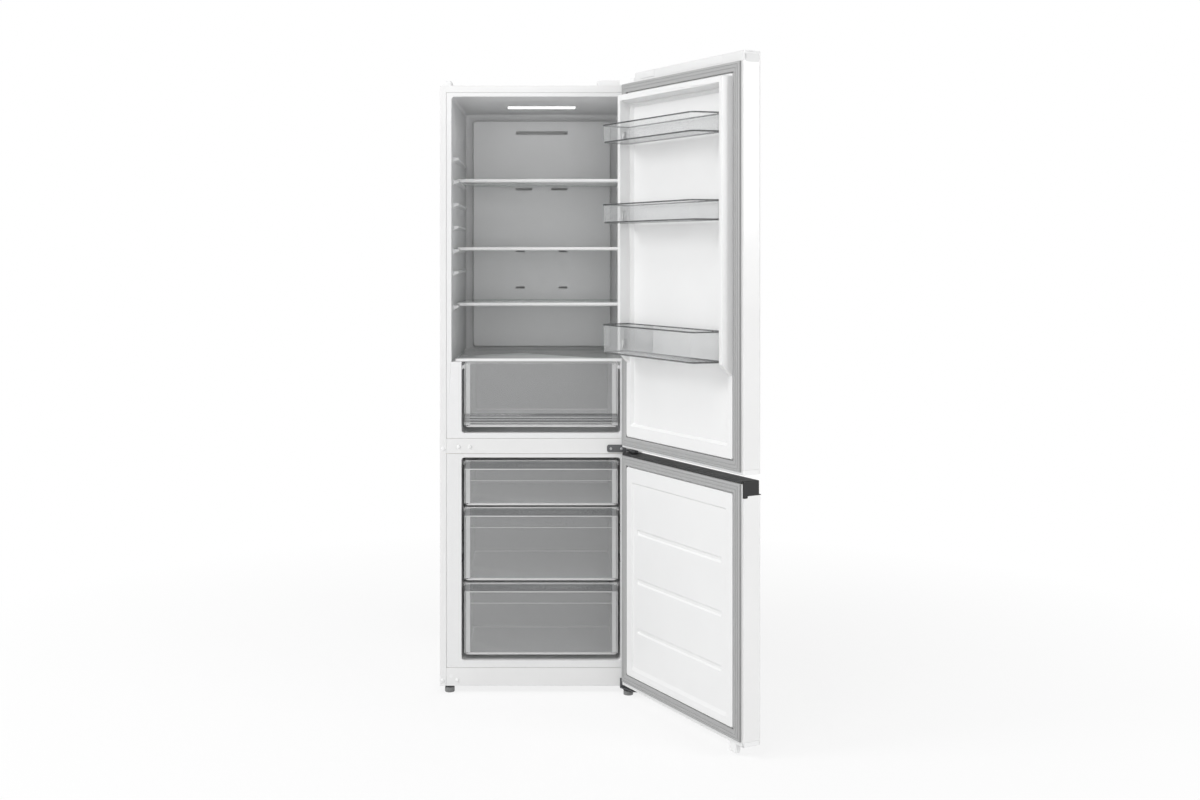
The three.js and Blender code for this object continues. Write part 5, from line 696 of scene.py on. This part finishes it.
# ------------------------------------------------------------------ door bins
def door_bin(node, body, bottom, height, dividers=()):
    """A clear door bin: its plan is a tray whose ends taper in to rounded front corners. Its rim and
    bottom bends take a dark finish, painted shade.
    """
    # edge: the spans at the rim and bottom bends, which take the dark finish, painted shade
    top, wall, edge = bottom + height, 0, 1
    by_the_door, tapers_from, outer = 1.9, 34.0, 103.0

    def plan(inset, z, radius):
        wide, narrow = 240.5 - inset, 228.5 - inset
        corners = [(wide, by_the_door + inset), (wide, tapers_from), (narrow, outer - inset),
                   (-narrow, outer - inset), (-wide, tapers_from), (-wide, by_the_door + inset)]
        return placed(outline(corners, [2.0, 30.0, radius, radius, 30.0, 2.0]), 2, z)

    tray = lofted([
        plan(6.0, bottom, 15.0), plan(3.6, bottom + 0.8, 17.0), plan(2.9, bottom + 3.0, 18.0),
        plan(1.1, top - 4.0, 19.0), plan(0.3, top - 3.2, 20.0), plan(0.0, top - 2.2, 20.0),
        plan(0.0, top - 0.8, 20.0), plan(0.6, top, 20.0), plan(2.2, top, 18.0),
        plan(2.8, top - 0.8, 17.6), plan(5.2, bottom + 4.6, 15.4), plan(6.6, bottom + 2.4, 14.0),
    ], marks=[wall if k in (2, 9) else edge for k in range(11)])
    ribs = [lofted([placed(box_outline(x - 1.0, x + 1.0, 4.0, 98.0, 0.8, 2), 2, z)
                    for z in (bottom + 1.5, top - 3.0)]) for x in dividers]
    piece(node + "_shape", [tray, *ribs], body, "bin_smoke", [FINISH["bin_smoke"], PAINTED_SHADE_EDGE], (node,),
          opened=True, sharp=50.0)


door_bin("door_bin_top", "door_bin_top_body", 1604.5, 52.0)
door_bin("door_bin_middle", "door_bin_middle_body", 1377.5, 54.0)
door_bin("door_bin_bottom", "door_bin_bottom_body", 1009.5, 82.5, (110.0,))


# ------------------------------------------------------------------ shelves and cover of glass
def glass_plate(node, body, half, y0, y1, z):
    """A flat glass, 4 thick, whose ground edge is rounded over."""
    ground = 1
    rings = [placed(box_outline(inset - half, half - inset, y0 + inset, y1 - inset, 4.0, 4), 2, z + up)
             for inset, up in ((0.9, 0.0), (0.25, 0.3), (0.0, 1.0), (0.0, 3.0), (0.25, 3.7), (0.9, 4.0))]
    piece(node + "_shape", [lofted(rings, marks=ground)], body, "shelf_glass",
          [FINISH["shelf_glass"], GLASS_EDGE], (node,), sharp=30.0)


for number, ledge in enumerate((1511.0, 1305.0, 1137.0), 1):
    glass_plate(f"shelf_glass_{number}", f"shelf_{number}", 250.5, 120.0, 475.0, ledge + 0.3)
glass_plate("crisper_cover_glass", "cabinet", 251.0, 15.0, 475.0, 973.3)


# ------------------------------------------------------------------ pad, seam and end of the top cap
def pane(axis, level, sides, proud, radius, slope=0.5):
    """A thin pane with a sloped rim, which runs from 0.5 below a level of the axis to proud above it."""
    a0, a1, b0, b1 = sides
    return lofted([placed(box_outline(a0 + t, a1 - t, b0 + t, b1 - t, radius, 3), axis, level + out)
                   for t, out in ((0.0, -0.5), (0.0, 0.0), (slope * 0.3, proud * 0.8), (slope, proud))])


piece("top_cap_pad", [pane(1, CAP_INNER_FACE, (124.0, 196.0, 1790.5, 1809.0), 1.6, 3.0, 2.0),
                      pane(1, CAP_INNER_FACE, (-206.0, 118.0, 1789.0, 1809.6), 0.5, 1.0)],
      "upper_door", "trim_white", [CAP_WHITE], opened=True, sharp=40.0)
# the pane on the cap's end: its darker grey is painted shade of a shallow recess
piece("top_cap_end", [pane(0, CAP_LEFT_END, (-57.0, -17.0, 1781.5, 1803.0), -0.35, 2.0)],
      "upper_door", "trim_white", [CAP_END_PAINTED_SHADE], opened=True, sharp=40.0)


# ------------------------------------------------------------------ plugs, middle hinge and screws
def plug(x, z, high):
    """A domed snap-in plug on the front plane, low where a door's gasket closes over it."""
    lean = np.linspace(0.0, 0.5 * np.pi, 5)[:-1]
    dome = [(6.0 * math.cos(t), -high * (0.13 + 0.87 * math.sin(t))) for t in lean]
    return turned([(6.0, 0.6), *dome, (0.02, -high)], (x, 0.0, z), 20, axis=1)


piece("hole_plugs", [plug(x, z, high) for x, z, high in (
    (-242.1, 722.8, 3.0), (-208.9, 722.8, 3.0), (-288.0, 716.9, 3.0), (-264.1, 49.3, 0.3),
    (-246.5, 36.9, 3.0), (-289.4, 35.2, 3.0))], "cabinet", "trim_white", sharp=60.0)


def mid_hinge():
    """A plate with round left corners, an arm between the doors, and the pin in its collar.

    Seen from above the arm is a strip whose nose is an arc about the pin.
    """
    left, right, low, high = 193.8, 250.0, 707.6, 729.6
    plate = lofted([placed(outline([(right - t, high - t), (left + t, high - t), (left + t, low + t),
                                    (right - t, low + t)], [2.0, 6.5 - t, 6.5 - t, 2.0]), 1, y)
                    for t, y in ((0.0, -0.3), (0.0, -2.5), (0.2, -3.0), (0.7, HINGE_PLATE_FRONT))])
    radius, beyond_pin = 11.0, 10.0
    turn = np.pi + np.linspace(0.0, np.pi + math.acos(beyond_pin / radius), 25)
    nose = HINGE + radius * np.stack([np.cos(turn), np.sin(turn)], 1)
    strip = np.concatenate([[(249.0, -0.3)], nose, [(HINGE[0] + beyond_pin, -0.3)]])
    arm = lofted([placed(strip, 2, z) for z in (711.9, 716.7)])
    collar = turned([(9.0, 711.4), (9.0, 724.6), (8.4, 726.1)], (*HINGE, 0.0), 32)
    pin = turned([(4.2, 692.0), (5.0, 693.0), (5.0, 744.5), (4.2, 745.5)], (*HINGE, 0.0), 24)
    piece("mid_hinge_shape", [plate, arm, collar, pin], "cabinet", "hinge_dark", replaced=("mid_hinge",),
          rounding=0.5)


def screw(x, z):
    """A pan-head screw on the hinge's plate, its rim and its sunk middle turned from one profile."""
    return turned([(4.1, 1.0), (4.1, -0.5), (3.4, -1.7), (2.3, -2.1), (2.0, -2.1), (1.7, -0.7),
                   (0.02, -0.6)], (x, HINGE_PLATE_FRONT, z), 20, axis=1)


mid_hinge()
piece("mid_hinge_screws", [screw(x, 718.4) for x in (205.9, 236.6)], "cabinet", "hinge_dark", [SCREW],
      sharp=40.0)


# ------------------------------------------------------------------ lamp and wall slots
def lamp():
    """A flush lens: a plain border let into its pocket, and in it the glowing strip, a little proud."""
    half, front, back = 112.6, 270.4, 349.6
    glowing, plain = 0, 1

    def rim(t, z, radius):
        return placed(box_outline(t - half, half - t, front + t, back - t, radius, 3), 2, z)

    lens = lofted([rim(0.0, 1765.0, 3.0), rim(0.0, 1753.6, 3.0), rim(0.4, 1753.1, 2.6),
                   rim(6.0, 1753.1, 2.0), rim(6.2, 1752.5, 2.0), rim(6.8, 1752.3, 1.6)],
                  marks=[plain, plain, plain, glowing, glowing])
    piece("lamp_lens_shape", [lens], "cabinet", "lamp_white",
          [FINISH["lamp_white"], FINISH["trim_white"]], ("lamp_lens",), sharp=30.0)


lamp()


def wall_slot(side, low):
    """A slot in a side wall, dark all over as painted shade: its rounded rim stands a little proud and
    its floor is sunk.
    """
    front, back, high = 12.0, 64.0, low + 18.0
    return lofted([placed(box_outline(front + t, back - t, low + t, high - t, 2.5, 3), 0, side * x)
                   for t, x in ((0.0, 234.4), (0.3, 233.2), (1.0, 233.0), (1.5, 233.3), (1.7, 234.2))])


piece("freezer_wall_slots", [wall_slot(side, low) for side in (-1.0, 1.0) for low in (379.5, 469.0)],
      "cabinet", "liner_grey", [SLOT_PAINTED_SHADE], sharp=40.0)


# ------------------------------------------------------------------ beads and screws of the back
def rear_bead(x0, x1, z0, z1):
    """A pressed bead round a field of the back panel, 9 wide and barely proud, with sloped flanks."""
    profile = ((0.0, -0.3), (0.0, 0.0), (3.0, 0.28), (6.0, 0.28), (9.0, 0.0), (9.0, -0.3))
    return lofted([placed(box_outline(x0 + t, x1 - t, z0 + t, z1 - t, 14.0 - t), 1, BACK_FACE + out)
                   for t, out in profile], closed=True)


def rear_screw(x, z, face):
    """A low screw on the back: a rim and a shallow sunk middle, turned about the y axis."""
    radius = 4.4
    return turned([(radius, face - 0.3), (radius, face + 0.14), (radius * 0.88, face + 0.27),
                   (radius * 0.45, face + 0.27), (radius * 0.38, face + 0.06), (0.02, face + 0.05)],
                  (x, 0.0, z), 20, axis=1)


piece("back_panel_beads", [rear_bead(-258.0, 258.0, low, low + 444.0) for low in (300.0, 776.0, 1252.0)],
      "cabinet", SLOT_OF["back_panel"], sharp=60.0)
piece("rear_screws", [rear_screw(x, z, face) for columns, rows, face in (
    ((-284.0, 284.0), (262.0, 520.0, 998.0, 1474.0, 1768.0), BACK_FACE),
    ((-110.0, 110.0), (262.0, 1768.0), BACK_FACE),
    ((-284.0, -95.0, 95.0, 284.0), (54.0, 222.0), COVER_FACE),
) for x in columns for z in rows], "cabinet", "hinge_dark", [SCREW], sharp=40.0)


# ------------------------------------------------------------------ feet
def foot(node, body, x, y, nut_top):
    """A levelling foot: a knurled nut on a round pad that turns on its stem."""
    pad = turned([(9.0, 0.0), (12.2, 0.0), (13.6, 0.5), (14.0, 1.6), (14.0, nut_top - 6.0),
                  (13.0, nut_top - 4.4), (10.6, nut_top - 3.4)], (x, y, 0.0), 48, wave=0.018, waves=16)
    nut = turned([(10.0, nut_top - 3.6), (14.4, nut_top - 3.2), (15.0, nut_top - 2.4),
                  (15.0, nut_top - 0.7), (14.3, nut_top), (4.4, nut_top), (4.0, nut_top + 0.4),
                  (4.0, 28.0)], (x, y, 0.0), 48, wave=0.01, waves=24)
    second_finish = nut[3] + 1
    piece(node + "_shape", [pad, (*nut[:3], second_finish)], body, "foot_grey",
          [FINISH["foot_grey"], FINISH["machine_black"]], (node,), sharp=50.0)


foot("front_foot_left", "foot_left", -269.0, 14.0, 19.5)
foot("front_foot_right", "foot_right", 256.0, -15.0, 16.2)

bpy.context.scene.view_settings.view_transform = "Standard"
